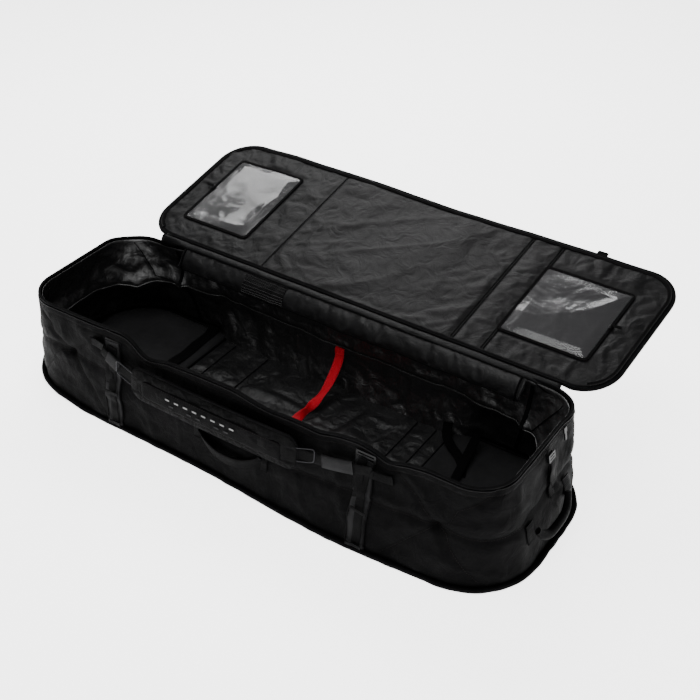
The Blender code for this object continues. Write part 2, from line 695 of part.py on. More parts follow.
def carry_handle(swing):
    """Everything that swings with the padded handle, in the front wall's own plane from the hinge line."""
    pad_low = CARRY_PAD_TOP - CARRY_PAD_SIZE[1]
    to_plane = 1 / math.sin(FRONT_SLOPE)
    pad_middle = ((CARRY_PAD_TOP + pad_low) / 2 - CARRY_HINGE_HEIGHT) * to_plane
    centre = (CARRY_PAD_SHIFT, pad_middle)
    pad = rounded_rectangle(CARRY_PAD_SIZE[0], CARRY_PAD_SIZE[1], CARRY_PAD_SIZE[1] * 0.35, centre)
    sheet("carry_pad", [pad], 0.0, CARRY_PAD_THICKNESS, swing, shell_fabric())
    cover_bottom = CARRY_PAD_THICKNESS + GAP
    cover = rounded_rectangle(CARRY_COVER_SIZE[0], CARRY_COVER_SIZE[1], CARRY_COVER_SIZE[1] * 0.2, centre)
    sheet("carry_pad_cover", [cover], cover_bottom, cover_bottom + CARRY_COVER_THICKNESS, swing,
          shell_fabric())
    for name, side in (("left", -1), ("right", 1)):
        pad_end = CARRY_PAD_SHIFT + side * CARRY_PAD_SIZE[0] / 2
        ring_x = pad_end + side * (RING_SIZE[0] / 2 + RING_WIRE + GAP)
        ring_z = CARRY_PAD_THICKNESS / 2
        path = rounded_rectangle(RING_SIZE[0], RING_SIZE[1], RING_WIRE * 2, steps=2)
        points = [(ring_x + x, pad_middle + y, ring_z) for x, y in path]
        tube("carry_ring_" + name, points, RING_WIRE, swing, ring_metal(), cyclic=True)
        start_x = ring_x + side * (RING_SIZE[0] / 2 + RING_WIRE + GAP)
        end_x = side * (CARRY_HALF_SPAN + FRONT_STRAP_WIDTH / 2 - 2 * GAP)
        half = CARRY_STRAP_WIDTH / 2
        low_end = -CARRY_STRAP_WIDTH
        outline = [(start_x, pad_middle - half), (end_x, low_end), (end_x, 0.0), (start_x, pad_middle + half)]
        if side < 0:
            outline.reverse()
        sheet("carry_strap_" + name, [outline], ring_z - WEBBING, ring_z + WEBBING, swing, webbing_black())


def arched_band(half_span, drop, band, steps=8):
    """A band in a plane that hangs from two ends at the top, between two arcs."""
    inner, outer = [], []
    for step in range(steps + 1):
        angle = math.pi * step / steps
        x = half_span * math.cos(angle)
        fall = drop * math.sin(angle)
        outer.append((x, -fall - band))
        inner.append((x, -fall))
    return outer + inner[::-1]


def grab_handle(swing):
    outline = arched_band(GRAB_HALF_SPAN, GRAB_DROP, GRAB_BAND)
    sheet("grab_handle", [outline[::-1]], 0.0, GRAB_THICKNESS, swing, webbing_black())


def end_handle(name, swing, side):
    """A padded grip on the end, hanging from its two anchors."""
    points = []
    for i in range(9):
        share = -1 + i / 4
        fall = END_HANDLE_DROP * (1 - share ** 4)
        out = side * fall / math.tan(END_SLOPE)
        points.append((out, share * (END_HANDLE_HALF_SPAN - END_HANDLE_RADIUS), -fall))
    tube(name, points, END_HANDLE_RADIUS, swing, webbing_black())


def buckle(name, size, lift):
    """A ladder lock: a flat frame with two slots, hung from its top edge."""
    width, height = size
    outer = rounded_rectangle(width, height, BUCKLE_BAR / 2, (0, -height / 2), steps=3)
    slot_height = (height - 3 * BUCKLE_BAR) / 2
    slot_width = width - 2 * BUCKLE_BAR
    outlines = [outer]
    for row in range(2):
        middle = -BUCKLE_BAR - slot_height / 2 - row * (slot_height + BUCKLE_BAR)
        outlines.append(rounded_rectangle(slot_width, slot_height, BUCKLE_BAR / 4, (0, middle), steps=2))
    return sheet(name, outlines, 0.0, BUCKLE_THICKNESS, lift, buckle_plastic())


def slider(name, slide):
    """A zip slider with its pull hanging down, in the end wall's plane."""
    body_x, body_y = SLIDER_BODY[0] / 2, SLIDER_BODY[1] / 2
    tab_x, tab_low = SLIDER_TAB[0] / 2, -SLIDER_BODY[1] / 2 - SLIDER_TAB[1]
    outline = [(-body_x, -body_y), (-tab_x, -body_y), (-tab_x, tab_low), (tab_x, tab_low), (tab_x, -body_y),
               (body_x, -body_y), (body_x, body_y), (-body_x, body_y)]
    sheet(name, [outline], 0.0, SLIDER_THICKNESS, slide, ring_metal())


# ----------------------------------------------------------------- assembly

def end_turn(side):
    """The turn that stands a flat piece on an end wall: its Y up the slope, its Z outward."""
    return (Matrix.Rotation(side * math.pi / 2, 4, "Z") @ Matrix.Rotation(END_SLOPE, 4, "X")).to_euler()


def clear_scene():
    for old in list(bpy.data.objects):
        bpy.data.objects.remove(old, do_unlink=True)
    for name in ("snowboard_bag", "cutters"):
        if name not in bpy.data.collections:
            bpy.context.scene.collection.children.link(bpy.data.collections.new(name))


def build():
    clear_scene()
    tub = pivot("tub", (0, 0, 0))
    base(tub)
    floor_pads(tub)
    lower_walls(tub)
    front_straps(tub)
    end_strap(tub)
    end_anchors(tub)
    tie_down(tub)
    loop_strap(tub)
    red_strap(tub)

    plug_y = TIE_BUCKLE_Y - TIE_SOCKET[1] / 2
    plug = pivot("tie_plug_pivot", (TIE_X, plug_y, PAD_TOP + GAP + TIE_SOCKET[2] / 2), parent=tub)
    tie_plug(plug)

    rim = pivot("rim", (0, 0, 0), parent=tub)
    upper_walls(rim)
    rim_edge(rim)
    hinge_strip(rim)
    carry_anchors(rim)

    hinge = pivot("lid_hinge", (0, HINGE_Y, HINGE_Z), (LID_TILT, 0, 0), parent=rim)
    lid(hinge)
    frame_top = GAP + WEBBING / 2
    frame_middle = WINDOW_FRAME_WIDTH / 2 - WINDOW_FRAME_LAP
    for name, size, centre in window_places():
        side = -1 if name == "left" else 1
        x = centre[0] + side * (size[0] / 2 + frame_middle)
        slide = pivot("window_pull_pivot_" + name, (x, centre[1], frame_top), parent=hinge)
        window_pull("window_pull_" + name, slide)

    swing_at = on_front(0, CARRY_HINGE_HEIGHT, CARRY_STANDOFF)
    carry_handle(pivot("carry_handle_pivot", swing_at, (FRONT_SLOPE, 0, 0), parent=rim))
    grab_at = on_front(0, GRAB_TOP, GRAB_STANDOFF)
    grab_handle(pivot("grab_handle_pivot", grab_at, (FRONT_SLOPE, 0, 0), parent=tub))
    for name, side in (("left", -1), ("right", 1)):
        at = on_end(0, END_HANDLE_TOP, END_HANDLE_RADIUS + 4 * STRAP_STANDOFF, side)
        end_handle("end_handle_" + name, pivot("end_handle_pivot_" + name, at, parent=tub), side)
        at = on_front(side * FRONT_STRAP_X, BUCKLE_TOP, BUCKLE_STANDOFF)
        lift = pivot("front_buckle_pivot_" + name, at, (FRONT_SLOPE, 0, 0), parent=rim)
        buckle("front_buckle_" + name, BUCKLE_SIZE, lift)
        park_y = section(HEIGHT)[1] - RIM_CORNER - SLIDER_PARK
        at = on_end(park_y, HEIGHT - ZIP_TAPE_DROP - ZIP_TAPE_WIDTH / 2, BUCKLE_STANDOFF, side)
        slider("zip_slider_" + name, pivot("zip_slider_pivot_" + name, at, end_turn(side), parent=rim))
    at = on_end(END_STRAP_Y, END_ADJUSTER_TOP, BUCKLE_STANDOFF + SLIDER_THICKNESS + GAP, 1)
    buckle("end_adjuster", END_ADJUSTER_SIZE, pivot("end_adjuster_pivot", at, end_turn(1), parent=rim))


build()
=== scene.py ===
"""Looks of the open snowboard bag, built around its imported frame.

Metres, +Z up, X along the bag, Y to the back. The tub's fabric is lofted over the frame's walls and then
creased and sagged; the linings and pads are cloth simulations; straps, seams and zips are mesh work.
"""
import math

import bpy
import numpy as np
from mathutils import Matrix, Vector


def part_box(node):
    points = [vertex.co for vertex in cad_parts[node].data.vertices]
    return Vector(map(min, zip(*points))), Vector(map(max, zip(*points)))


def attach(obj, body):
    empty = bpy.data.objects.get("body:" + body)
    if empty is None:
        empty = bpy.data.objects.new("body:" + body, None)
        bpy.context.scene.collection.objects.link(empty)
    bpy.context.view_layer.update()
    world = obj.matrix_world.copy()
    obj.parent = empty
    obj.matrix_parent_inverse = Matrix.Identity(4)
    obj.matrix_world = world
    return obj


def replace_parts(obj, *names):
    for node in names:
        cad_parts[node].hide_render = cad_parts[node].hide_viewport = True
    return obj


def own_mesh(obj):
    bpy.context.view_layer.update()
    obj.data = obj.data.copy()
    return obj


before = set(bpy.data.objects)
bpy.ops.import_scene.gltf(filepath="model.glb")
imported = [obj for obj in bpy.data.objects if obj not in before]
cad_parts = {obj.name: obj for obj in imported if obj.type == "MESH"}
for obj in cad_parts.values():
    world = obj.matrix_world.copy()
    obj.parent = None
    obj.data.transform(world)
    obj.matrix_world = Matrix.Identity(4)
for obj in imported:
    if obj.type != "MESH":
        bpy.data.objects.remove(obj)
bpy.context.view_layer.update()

SCENE = bpy.context.scene

# Camera: the viewing angle and the place it stands in
CAMERA_AZIMUTH = math.radians(33.9)
CAMERA_ELEVATION = math.radians(36.5)
CAMERA_PLACE = (1.529, -1.978, 2.112)
CAMERA_LENS = 60.83

# The frame's measures that the fabric is lofted over
HEIGHT = 0.295
RIM_TOP = 0.291
HALF_LENGTH = (0.7915, 0.7400)
HALF_WIDTH = (0.2565, 0.2200)
CORNER = (0.1715, 0.1000)
CREASE = 0.150
FLOOR_TOP = 0.0125
MAT_TOP = 0.021
LID_TILT = math.radians(16)
HINGE = np.array((0, 0.225, 0.300))
LID_X = (-0.7075, 0.7675)
LID_Y = (0.006, 0.444)
LID_CORNER = 0.095
STRAP_X = 0.400

# The upward part of a wall's outward direction, and half the straight part of the long walls
WALL_RISE = 0.13
STRAIGHT_HALF = 0.63

# Cloth simulation
CLOTH_FRAMES = 20
CLOTH_STIFFNESS = 12.0

# Strength of the white floor's own light
FLOOR_GLOW = 3.2

# About the width of a wave in Blender's wave texture at scale 1
WAVE_WIDTH = 0.314


def add_camera():
    data = bpy.data.cameras.new("camera")
    data.lens = CAMERA_LENS
    data.sensor_width = 36
    camera = bpy.data.objects.new("camera", data)
    camera.location = CAMERA_PLACE
    camera.rotation_euler = (math.pi / 2 - CAMERA_ELEVATION, 0, CAMERA_AZIMUTH)
    SCENE.collection.objects.link(camera)
    SCENE.camera = camera


def add_light(name, place, size, power, aim=(0, 0.1, 0.15)):
    data = bpy.data.lights.new(name, "AREA")
    data.shape = "RECTANGLE"
    data.size, data.size_y = size
    data.energy = power
    light = bpy.data.objects.new(name, data)
    light.location = place
    light.rotation_euler = (Vector(place) - Vector(aim)).to_track_quat("Z", "Y").to_euler()
    SCENE.collection.objects.link(light)


def add_studio():
    world = bpy.data.worlds.new("studio")
    SCENE.world = world
    world.use_nodes = True
    sky = world.node_tree.nodes["Background"]
    sky.inputs["Color"].default_value = (1, 1, 1, 1)
    sky.inputs["Strength"].default_value = 0.30
    add_light("back_softbox", (-1.5, 2.15, 2.6), (2.4, 1.2), 105)
    add_light("top_softbox", (-0.2, -0.4, 3.6), (3.0, 2.0), 95)
    add_light("front_fill", (1.2, -3.4, 2.4), (2.4, 2.0), 34)


# ---------------------------------------------------------------- materials

def fabric(name, colour, roughness=0.8, weave=0.0011, weave_depth=0.25, wrinkle=None, wrinkle_depth=0.0,
           variation=0.25, sheen=0.0, specular=0.5, coat=0.0, metallic=0.0, alpha=1.0, patches=9.0):
    """A procedural material: colour that varies softly, a crossed weave, and an optional crumple."""
    made = bpy.data.materials.new(name)
    made.use_nodes = True
    tree = made.node_tree
    shader = tree.nodes["Principled BSDF"]
    place = tree.nodes.new("ShaderNodeTexCoord").outputs["Object"]

    def add(kind, output, links, **values):
        """A node with these input values and links, of which one output is passed on."""
        node = tree.nodes.new("ShaderNode" + kind)
        for socket, value in values.items():
            node.inputs[socket.replace("_", " ")].default_value = value
        for socket, source in links.items():
            tree.links.new(source, node.inputs[socket])
        return node.outputs[output]

    def noise(scale, detail=3.0, distortion=0.0):
        return add("TexNoise", "Fac", {"Vector": place}, Scale=scale, Detail=detail, Distortion=distortion)

    def bump(source, distance, strength, normal):
        links = {"Height": source, "Normal": normal} if normal else {"Height": source}
        return add("Bump", "Normal", links, Distance=distance, Strength=strength)

    ramp = tree.nodes.new("ShaderNodeValToRGB")
    for stop, position, shade in zip(ramp.color_ramp.elements, (0.3, 0.7), (1 - variation, 1 + variation)):
        stop.position = position
        stop.color = tuple(c * shade for c in colour) + (1,)
    tree.links.new(noise(patches), ramp.inputs["Fac"])
    tree.links.new(ramp.outputs["Color"], shader.inputs["Base Color"])
    rough = add("MapRange", "Result", {"Value": noise(patches * 3)}, From_Min=0.3, From_Max=0.7,
                To_Min=roughness * 0.88, To_Max=min(1, roughness * 1.12))
    tree.links.new(rough, shader.inputs["Roughness"])
    for socket, value in (("Specular IOR Level", specular), ("Sheen Weight", sheen), ("Sheen Roughness", 0.4),
                          ("Coat Weight", coat), ("Coat Roughness", 0.06), ("Metallic", metallic),
                          ("Alpha", alpha)):
        shader.inputs[socket].default_value = value

    normal = None
    if wrinkle:
        normal = bump(noise(wrinkle, 5.0, 1.2), wrinkle_depth, 1.0, None)
    if weave:
        for turn in (0, math.pi / 2):
            lay = add("Mapping", "Vector", {"Vector": place}, Rotation=(0, turn, 0))
            wave = tree.nodes.new("ShaderNodeTexWave")
            wave.bands_direction = "DIAGONAL"
            wave.inputs["Scale"].default_value = WAVE_WIDTH / weave
            wave.inputs["Distortion"].default_value = 0.6
            tree.links.new(lay, wave.inputs["Vector"])
            normal = bump(wave.outputs["Fac"], weave_depth * weave, 0.6, normal)
    if normal:
        tree.links.new(normal, shader.inputs["Normal"])
    return made


SHELL = fabric("shell_cloth", (0.0018, 0.0018, 0.0019), 0.60, wrinkle=20, wrinkle_depth=0.004, specular=0.020)
SATIN = fabric("tub_satin", (0.0065, 0.0065, 0.0068), 0.35, weave=0.0008, weave_depth=0.1, wrinkle=24,
               wrinkle_depth=0.005, variation=0.35, specular=0.80)
LID_SATIN = fabric("lid_satin_cloth", (0.0038, 0.0038, 0.0040), 0.36, weave=0.0008, weave_depth=0.1,
                   wrinkle=20, wrinkle_depth=0.0034, variation=0.2, specular=0.075)
PAD_CLOTH = fabric("pad_cloth", (0.0026, 0.0026, 0.0027), 0.7, weave=0.0014, weave_depth=0.4, specular=0.04)
FLOOR_SATIN = fabric("floor_satin_cloth", (0.0050, 0.0050, 0.0052), 0.38, weave=0.0008, weave_depth=0.1,
                     wrinkle=24, wrinkle_depth=0.004, variation=0.35, specular=0.34)
# The hinge roll's satin: the lid's satin painted lighter and glossier, painted light that makes up for how light
# falls on the roll's slope
ROLL_SATIN_PAINTED_LIGHTER = fabric("roll_satin_painted_lighter", (0.0055, 0.0055, 0.0058), 0.36, weave=0.0008, weave_depth=0.1,
                    wrinkle=20, wrinkle_depth=0.0034, variation=0.2, specular=0.20)
MAT = fabric("mat_cloth", (0.0085, 0.0085, 0.0090), 0.85, weave=0.0016, weave_depth=0.4, specular=0.15)
TAPE = fabric("binding_cloth", (0.0019, 0.0019, 0.0021), 0.75, weave=0.0014, weave_depth=0.5, specular=0.05)
WEBBING = fabric("webbing_cloth", (0.0019, 0.0019, 0.0020), 0.62, weave=0.0022, weave_depth=0.6,
                 specular=0.03)
WRAP = fabric("wrap_cloth", (0.0085, 0.0085, 0.0090), 0.75, weave=0.0018, weave_depth=0.6, specular=0.1)
RED = fabric("red_webbing_cloth", (0.42, 0.002, 0.012), 0.55, weave=0.0020, weave_depth=0.5, variation=0.12,
             specular=0.2)
THREAD = fabric("thread", (0.0050, 0.0034, 0.0032), 0.6, weave=0.0006, weave_depth=0.4, specular=0.06)
RED_THREAD = fabric("red_thread", (0.42, 0.01, 0.02), 0.5, weave=0.0006, weave_depth=0.4)
PLASTIC = fabric("buckle_plastic", (0.0028, 0.0028, 0.0030), 0.34, weave=None, wrinkle=240,
                 wrinkle_depth=0.0003, variation=0.1, specular=0.10)
METAL = fabric("wire_metal", (0.022, 0.022, 0.024), 0.34, weave=None, wrinkle=320, wrinkle_depth=0.0001,
               metallic=1.0, variation=0.1)
FILM = fabric("clear_film", (0.040, 0.040, 0.042), 0.20, weave=None, wrinkle=6, wrinkle_depth=0.006,
              coat=0.55, alpha=0.36, variation=0.1)
MESH = fabric("spacer_mesh", (0.0020, 0.0020, 0.0022), 0.7, weave=0.004, weave_depth=0.8, specular=0.15)
KNOT = fabric("mesh_knots", (0.06, 0.06, 0.06), 0.6, weave=0.0006, weave_depth=0.4)
PRINT = fabric("pale_print", (0.14, 0.14, 0.14), 0.7, weave=0.0018, weave_depth=0.4)
FLOOR = fabric("studio_floor", (0.94, 0.94, 0.94), 0.9, weave=None, wrinkle=60, wrinkle_depth=0.0002,
               variation=0.01)


def add_ground():
    bpy.ops.mesh.primitive_plane_add(size=30, location=(0, 0, -0.0005))
    ground = bpy.context.object
    ground.name = "studio_ground"
    ground.data.materials.append(FLOOR)
    glow = FLOOR.node_tree.nodes["Principled BSDF"]
    glow.inputs["Emission Color"].default_value = (1, 1, 1, 1)
    glow.inputs["Emission Strength"].default_value = FLOOR_GLOW


# ------------------------------------------------------------ number fields

# Large odd numbers that mix up the cells of the noise
FIELD_MIX = np.array((374761393, 668265263, 974634777))


def field(points, scale, seed=0):
    """Smooth value noise from -1 to 1 at each point."""
    p = np.asarray(points) * scale + seed * 17.13 + 1000
    cell = np.floor(p).astype(np.int64)
    f = p - cell
    f = f * f * (3 - 2 * f)

    def corner(dx, dy, dz):
        n = (cell + (dx, dy, dz)) @ FIELD_MIX & 0xFFFFFFFF
        n = ((n ^ (n >> 13)) * 1274126177) & 0xFFFFFFFF
        return ((n ^ (n >> 16)) & 0xFFFF) / 32767.5 - 1

    value = 0
    for dx in (0, 1):
        for dy in (0, 1):
            for dz in (0, 1):
                w = (f[..., 0] if dx else 1 - f[..., 0]) * (f[..., 1] if dy else 1 - f[..., 1])
                value = value + corner(dx, dy, dz) * w * (f[..., 2] if dz else 1 - f[..., 2])
    return value


def ridges(points, scale, seed=0):
    """Sharp narrow folds, 0 to 1, like those of crumpled cloth."""
    points = np.asarray(points)
    bent = points + 0.35 / np.max(scale) * np.stack([field(points, scale, seed + k) for k in (1, 2, 3)], -1)
    return np.clip(1 - 2.2 * np.abs(field(bent, scale, seed)), 0, 1) ** 2


def smooth(low, high, value):
    share = np.clip((value - low) / (high - low), 0, 1)
    return share * share * (3 - 2 * share)


def hump(value, centre, width):
    return np.exp(-((value - centre) / width) ** 2)


# --------------------------------------------------------------- tub's loft

# Where the front rim stands above or below its frame, along X
FRONT_RIM = ((-0.70, 0.000), (-0.46, 0.004), (-0.375, 0.010), (-0.340, 0.000), (-0.305, -0.036),
             (-0.270, -0.037), (-0.230, -0.024), (-0.115, -0.016), (0.00, -0.014), (0.06, -0.026),
             (0.11, -0.032), (0.165, -0.027), (0.21, -0.026), (0.26, -0.028), (0.315, -0.012),
             (0.37, -0.004), (0.415, -0.010), (0.460, -0.028), (0.505, -0.010), (0.56, 0.0), (0.70, 0.0))


def front_rim(x):
    xs, zs = np.array(FRONT_RIM).T
    return sum(np.interp(x + shift, xs, zs) for shift in (-0.014, -0.007, 0, 0.007, 0.014)) / 5


def slump(points):
    """Moves points of the upright loft to where the soft bag has settled."""
    p = np.array(points, float)
    x, y, z = p[..., 0].copy(), p[..., 1].copy(), p[..., 2].copy()
    high = np.clip(z / RIM_TOP, 0, 1)
    front = smooth(-0.10, -0.20, y)
    back = smooth(0.10, 0.20, y)
    p[..., 2] += front * front_rim(x) * high ** 2
    p[..., 2] -= 0.016 * smooth(-0.45, -0.62, x) * back * high ** 2
    p[..., 0] += 0.016 * smooth(0.55, 0.72, x) * back * high ** 2
    p[..., 1] -= 0.026 * front * hump(x, 0.32, 0.30) * (1 - high) ** 1.5
    p[..., 1] += 0.018 * front * smooth(-0.45, -0.75, x) * (1 - high)
    p[..., 2] += 0.016 * smooth(-0.45, -0.78, x) * (1 - high) * smooth(0.2, -0.2, y)
    return p


def stations(long=236, corner=22, short=34):
    """The places round the section, from the front left corner round by the right, so many on each leg."""
    counts = (long, corner, short, corner) * 2
    return np.array([place_at(leg + k / count) for leg, count in enumerate(counts) for k in range(count)])


def loft(places, z, inset=0.0):
    """Points of the wall at heights z for places round it, moved in by inset.

    places is (N, 3), z is (M,) or (N, M).
    """
    z = np.broadcast_to(z, (len(places), np.shape(z)[-1]))
    share = z / HEIGHT
    half_x = HALF_LENGTH[0] + (HALF_LENGTH[1] - HALF_LENGTH[0]) * share - inset
    half_y = HALF_WIDTH[0] + (HALF_WIDTH[1] - HALF_WIDTH[0]) * share - inset
    r = CORNER[0] + (CORNER[1] - CORNER[0]) * share - inset
    sx, sy, turn = (places[:, k:k + 1] for k in range(3))
    return np.stack([sx * (half_x - r) + r * np.cos(turn), sy * (half_y - r) + r * np.sin(turn), z], -1)


# Ends of the legs round the section: the sides of the corner's centre along X and Y, and the outward angle
LEGS = ((-1, -1, -90), (1, -1, -90), (1, -1, 0), (1, 1, 0), (1, 1, 90),
        (-1, 1, 90), (-1, 1, 180), (-1, -1, 180), (-1, -1, 270))


def place_at(q):
    """The place at q round the section: 0 to 1 is the front, 1 to 2 the right front corner, and so on."""
    q = q % 8
    k = int(q)
    a, b, f = LEGS[k], LEGS[k + 1], q - k
    return (a[0] + (b[0] - a[0]) * f, a[1] + (b[1] - a[1]) * f, math.radians(a[2] + (b[2] - a[2]) * f))


def q_front(x):
    return (x / STRAIGHT_HALF + 1) / 2


def q_back(x):
    return 4 + (1 - x / STRAIGHT_HALF) / 2


def trace(route, inset=0.0, step=0.012):
    """Points on the wall along a route of (q, z) corners, and their outward directions."""
    points, outward = [], []
    for (q0, z0), (q1, z1) in zip(route, route[1:]):
        ends = loft(np.array([place_at(q0), place_at(q1)]), np.array([z0, z1]))
        count = max(2, int(max(np.linalg.norm(ends[0, 0] - ends[1, 1]), abs(q1 - q0) * 0.15) / step))
        for k in range(count + (q1 == route[-1][0] and z1 == route[-1][1])):
            f = k / count
            place = place_at(q0 + (q1 - q0) * f)
            points.append(loft(np.array([place]), np.array([z0 + (z1 - z0) * f]), inset)[0, 0])
            outward.append((math.cos(place[2]), math.sin(place[2]), WALL_RISE))
    return np.array(points), np.array(outward)


def nearest(points, line):
    """Distance from each point to a polyline."""
    flat = points.reshape(-1, 3)
    best = np.full(len(flat), 9.0)
    for a, b in zip(line, line[1:]):
        along = b - a
        f = np.clip((flat - a) @ along / max(1e-12, along @ along), 0, 1)
        best = np.minimum(best, np.linalg.norm(flat - a - f[:, None] * along, axis=1))
    return best.reshape(points.shape[:-1])


# -------------------------------------------------------------- mesh helpers

def add_piece(name, points, faces, look, flat=False):
    """A mesh piece; look is a material, or a list of materials with a list of each face's index in it."""
    looks, face_looks = look if isinstance(look, tuple) else ([look], [0] * len(faces))
    mesh = bpy.data.meshes.new(name)
    mesh.from_pydata([tuple(map(float, p)) for p in points], [], faces)
    for look in looks:
        mesh.materials.append(look)
    mesh.polygons.foreach_set("material_index", face_looks)
    mesh.polygons.foreach_set("use_smooth", [not flat] * len(mesh.polygons))
    mesh.update()
    piece = bpy.data.objects.new(name, mesh)
    SCENE.collection.objects.link(piece)
    return piece


def add_grid(name, points, look, wrap=False):
    """An open sheet over a grid of points (N, M, 3); wrap joins its last column to its first."""
    n, m = points.shape[:2]
    faces = [(i * m + j, (i + 1) % n * m + j, (i + 1) % n * m + j + 1, i * m + j + 1)
             for i in range(n if wrap else n - 1) for j in range(m - 1)]
    return add_piece(name, points.reshape(-1, 3), faces, look)


def grid_faces(n, m, start=0, flip=False):
    """Faces of a grid of n by m points, of which start is the first."""
    faces = [(start + i * m + j, start + (i + 1) * m + j, start + (i + 1) * m + j + 1, start + i * m + j + 1)
             for i in range(n - 1) for j in range(m - 1)]
    return [tuple(reversed(face)) for face in faces] if flip else faces


def grid_edge(n, m):
    """The points round the edge of a grid, in turn."""
    edge = [i * m for i in range(n)] + [(n - 1) * m + j for j in range(1, m)]
    return edge + [i * m + m - 1 for i in range(n - 2, -1, -1)] + [j for j in range(m - 2, 0, -1)]


def on_plane(x, y):
    """Points (x, y, 0) of a grid."""
    return np.stack([x, y, 0 * x], -1)


def round_limit(beyond, half, r):
    """Half the width of a round-cornered shape, at a place so far beyond its corners' centres."""
    return half - r + np.sqrt(np.clip(r * r - beyond ** 2, 0, None))


def edge_mask(shape):
    """The two outer rows all round a grid."""
    mask = np.ones(shape, bool)
    mask[2:-2, 2:-2] = False
    return mask


def thicken(piece, thickness, offset=-1.0):
    solid = piece.modifiers.new("thick", "SOLIDIFY")
    solid.thickness = thickness
    solid.offset = offset
    graph = bpy.context.evaluated_depsgraph_get()
    mesh = bpy.data.meshes.new_from_object(piece.evaluated_get(graph))
    piece.modifiers.clear()
    piece.data = mesh
    return piece


def directions(line, closed=False):
    """Unit direction of a line at each of its points."""
    line = np.asarray(line, float)
    if closed:
        along = np.roll(line, -1, 0) - np.roll(line, 1, 0)
    else:
        along = np.gradient(line, axis=0)
    return along / np.maximum(1e-9, np.linalg.norm(along, axis=1))[:, None]


def unit(vectors):
    vectors = np.asarray(vectors, float)
    return vectors / np.maximum(1e-9, np.linalg.norm(vectors, axis=-1))[..., None]


def section_faces(count, sides, closed):
    faces = [(i * sides + j, (i + 1) % count * sides + j, (i + 1) % count * sides + (j + 1) % sides,
              i * sides + (j + 1) % sides)
             for i in range(count if closed else count - 1) for j in range(sides)]
    if not closed:
        faces.append(tuple(reversed(range(sides))))
        faces.append(tuple(range((count - 1) * sides, count * sides)))
    return [tuple(reversed(f)) for f in faces]


def tube(name, line, radius, look, up=(0, 0, 1), closed=False, sides=8, flatten=1.0):
    """A round or flattened rod along a line; radius may vary along it."""
    line = np.asarray(line, float)
    along = directions(line, closed)
    across = unit(np.cross(along, np.broadcast_to(np.asarray(up, float), line.shape)))
    over = np.cross(across, along)
    radius = np.broadcast_to(radius, len(line))[:, None, None]
    turn = np.linspace(0, 2 * math.pi, sides, endpoint=False)
    ring = (np.cos(turn)[None, :, None] * across[:, None]
            + flatten * np.sin(turn)[None, :, None] * over[:, None])
    return add_piece(name, (line[:, None] + radius * ring).reshape(-1, 3),
                     section_faces(len(line), sides, closed), look)


def square_to(across, along):
    """Unit vectors square to along that lie nearest to across."""
    return unit(across - (across * along).sum(1)[:, None] * along)


def band(name, line, across, width, thickness, look):
    """Flat webbing along a line, with rounded edges. across points along its width."""
    line = np.asarray(line, float)
    along = directions(line)
    across = square_to(np.broadcast_to(np.asarray(across, float), line.shape), along)
    over = np.cross(along, across)
    half, t = np.broadcast_to(width, len(line))[:, None] / 2, thickness / 2
    rows = []
    for a, b in ((-1, 0), (-0.94, -0.8), (-0.4, -1), (0.4, -1), (0.94, -0.8), (1, 0), (0.94, 0.8), (0.4, 1),
                 (-0.4, 1), (-0.94, 0.8)):
        rows.append(line + across * half * a + over * t * b)
    points = np.stack(rows, 1).reshape(-1, 3)
    return add_piece(name, points, section_faces(len(line), len(rows), False), look)


def resample(line, step, closed=False):
    """Evenly spaced points along a line."""
    line = np.asarray(line, float)
    if closed:
        line = np.vstack([line, line[:1]])
    lengths = np.concatenate([[0], np.cumsum(np.linalg.norm(np.diff(line, axis=0), axis=1))])
    count = max(2, int(round(lengths[-1] / step)))
    at = np.linspace(0, lengths[-1], count + 1)
    if closed:
        at = at[:-1]
    return np.stack([np.interp(at, lengths, line[:, k]) for k in range(3)], 1)


def curve_through(points, step=0.008):
    """A smooth line through a few points."""
    points = np.asarray(points, float)
    padded = np.vstack([2 * points[0] - points[1], points, 2 * points[-1] - points[-2]])
    line = []
    for k in range(1, len(padded) - 2):
        p0, p1, p2, p3 = padded[k - 1:k + 3]
        for f in np.linspace(0, 1, 12, endpoint=False):
            line.append(0.5 * (2 * p1 + (p2 - p0) * f + (2 * p0 - 5 * p1 + 4 * p2 - p3) * f ** 2
                               + (3 * p1 - p0 - 3 * p2 + p3) * f ** 3))
    return resample(line + [points[-1]], step)


def stitches(name, line, outward, look, length=0.0045, gap=0.0022, radius=0.0006, closed=False):
    """A row of thread stitches lying on a surface."""
    line = np.asarray(line, float)
    outward = np.broadcast_to(unit(outward), line.shape)
    if closed:
        line, outward = np.vstack([line, line[:1]]), np.vstack([outward, outward[:1]])
    lengths = np.concatenate([[0], np.cumsum(np.linalg.norm(np.diff(line, axis=0), axis=1))])
    starts = np.arange(gap, lengths[-1] - length - gap, length + gap)

    def at(s, rows):
        return np.stack([np.interp(s, lengths, rows[:, k]) for k in range(3)], 1)

    points, faces = [], []
    first, last, out = at(starts, line), at(starts + length, line), unit(at(starts, outward))
    side = np.cross(unit(last - first), out)
    middle = (first + last) / 2 + out * radius * 1.2
    for ring, size in ((first, 0.35), (middle, 1.0), (last, 0.35)):
        for a, b in ((-1, -0.6), (1, -0.6), (0.8, 1), (-0.8, 1)):
            points.append(ring + side * radius * a * size + out * radius * b * size)
    points = np.stack(points, 1)
    for k in range(len(starts)):
        o = k * 12
        faces.append((o, o + 1, o + 2, o + 3))
        for r in (0, 4):
            faces += [(o + r + j, o + r + 4 + j, o + r + 4 + (j + 1) % 4, o + r + (j + 1) % 4)
                      for j in range(4)]
        faces.append((o + 11, o + 10, o + 9, o + 8))
    return add_piece(name, points.reshape(-1, 3), faces, look, flat=True)


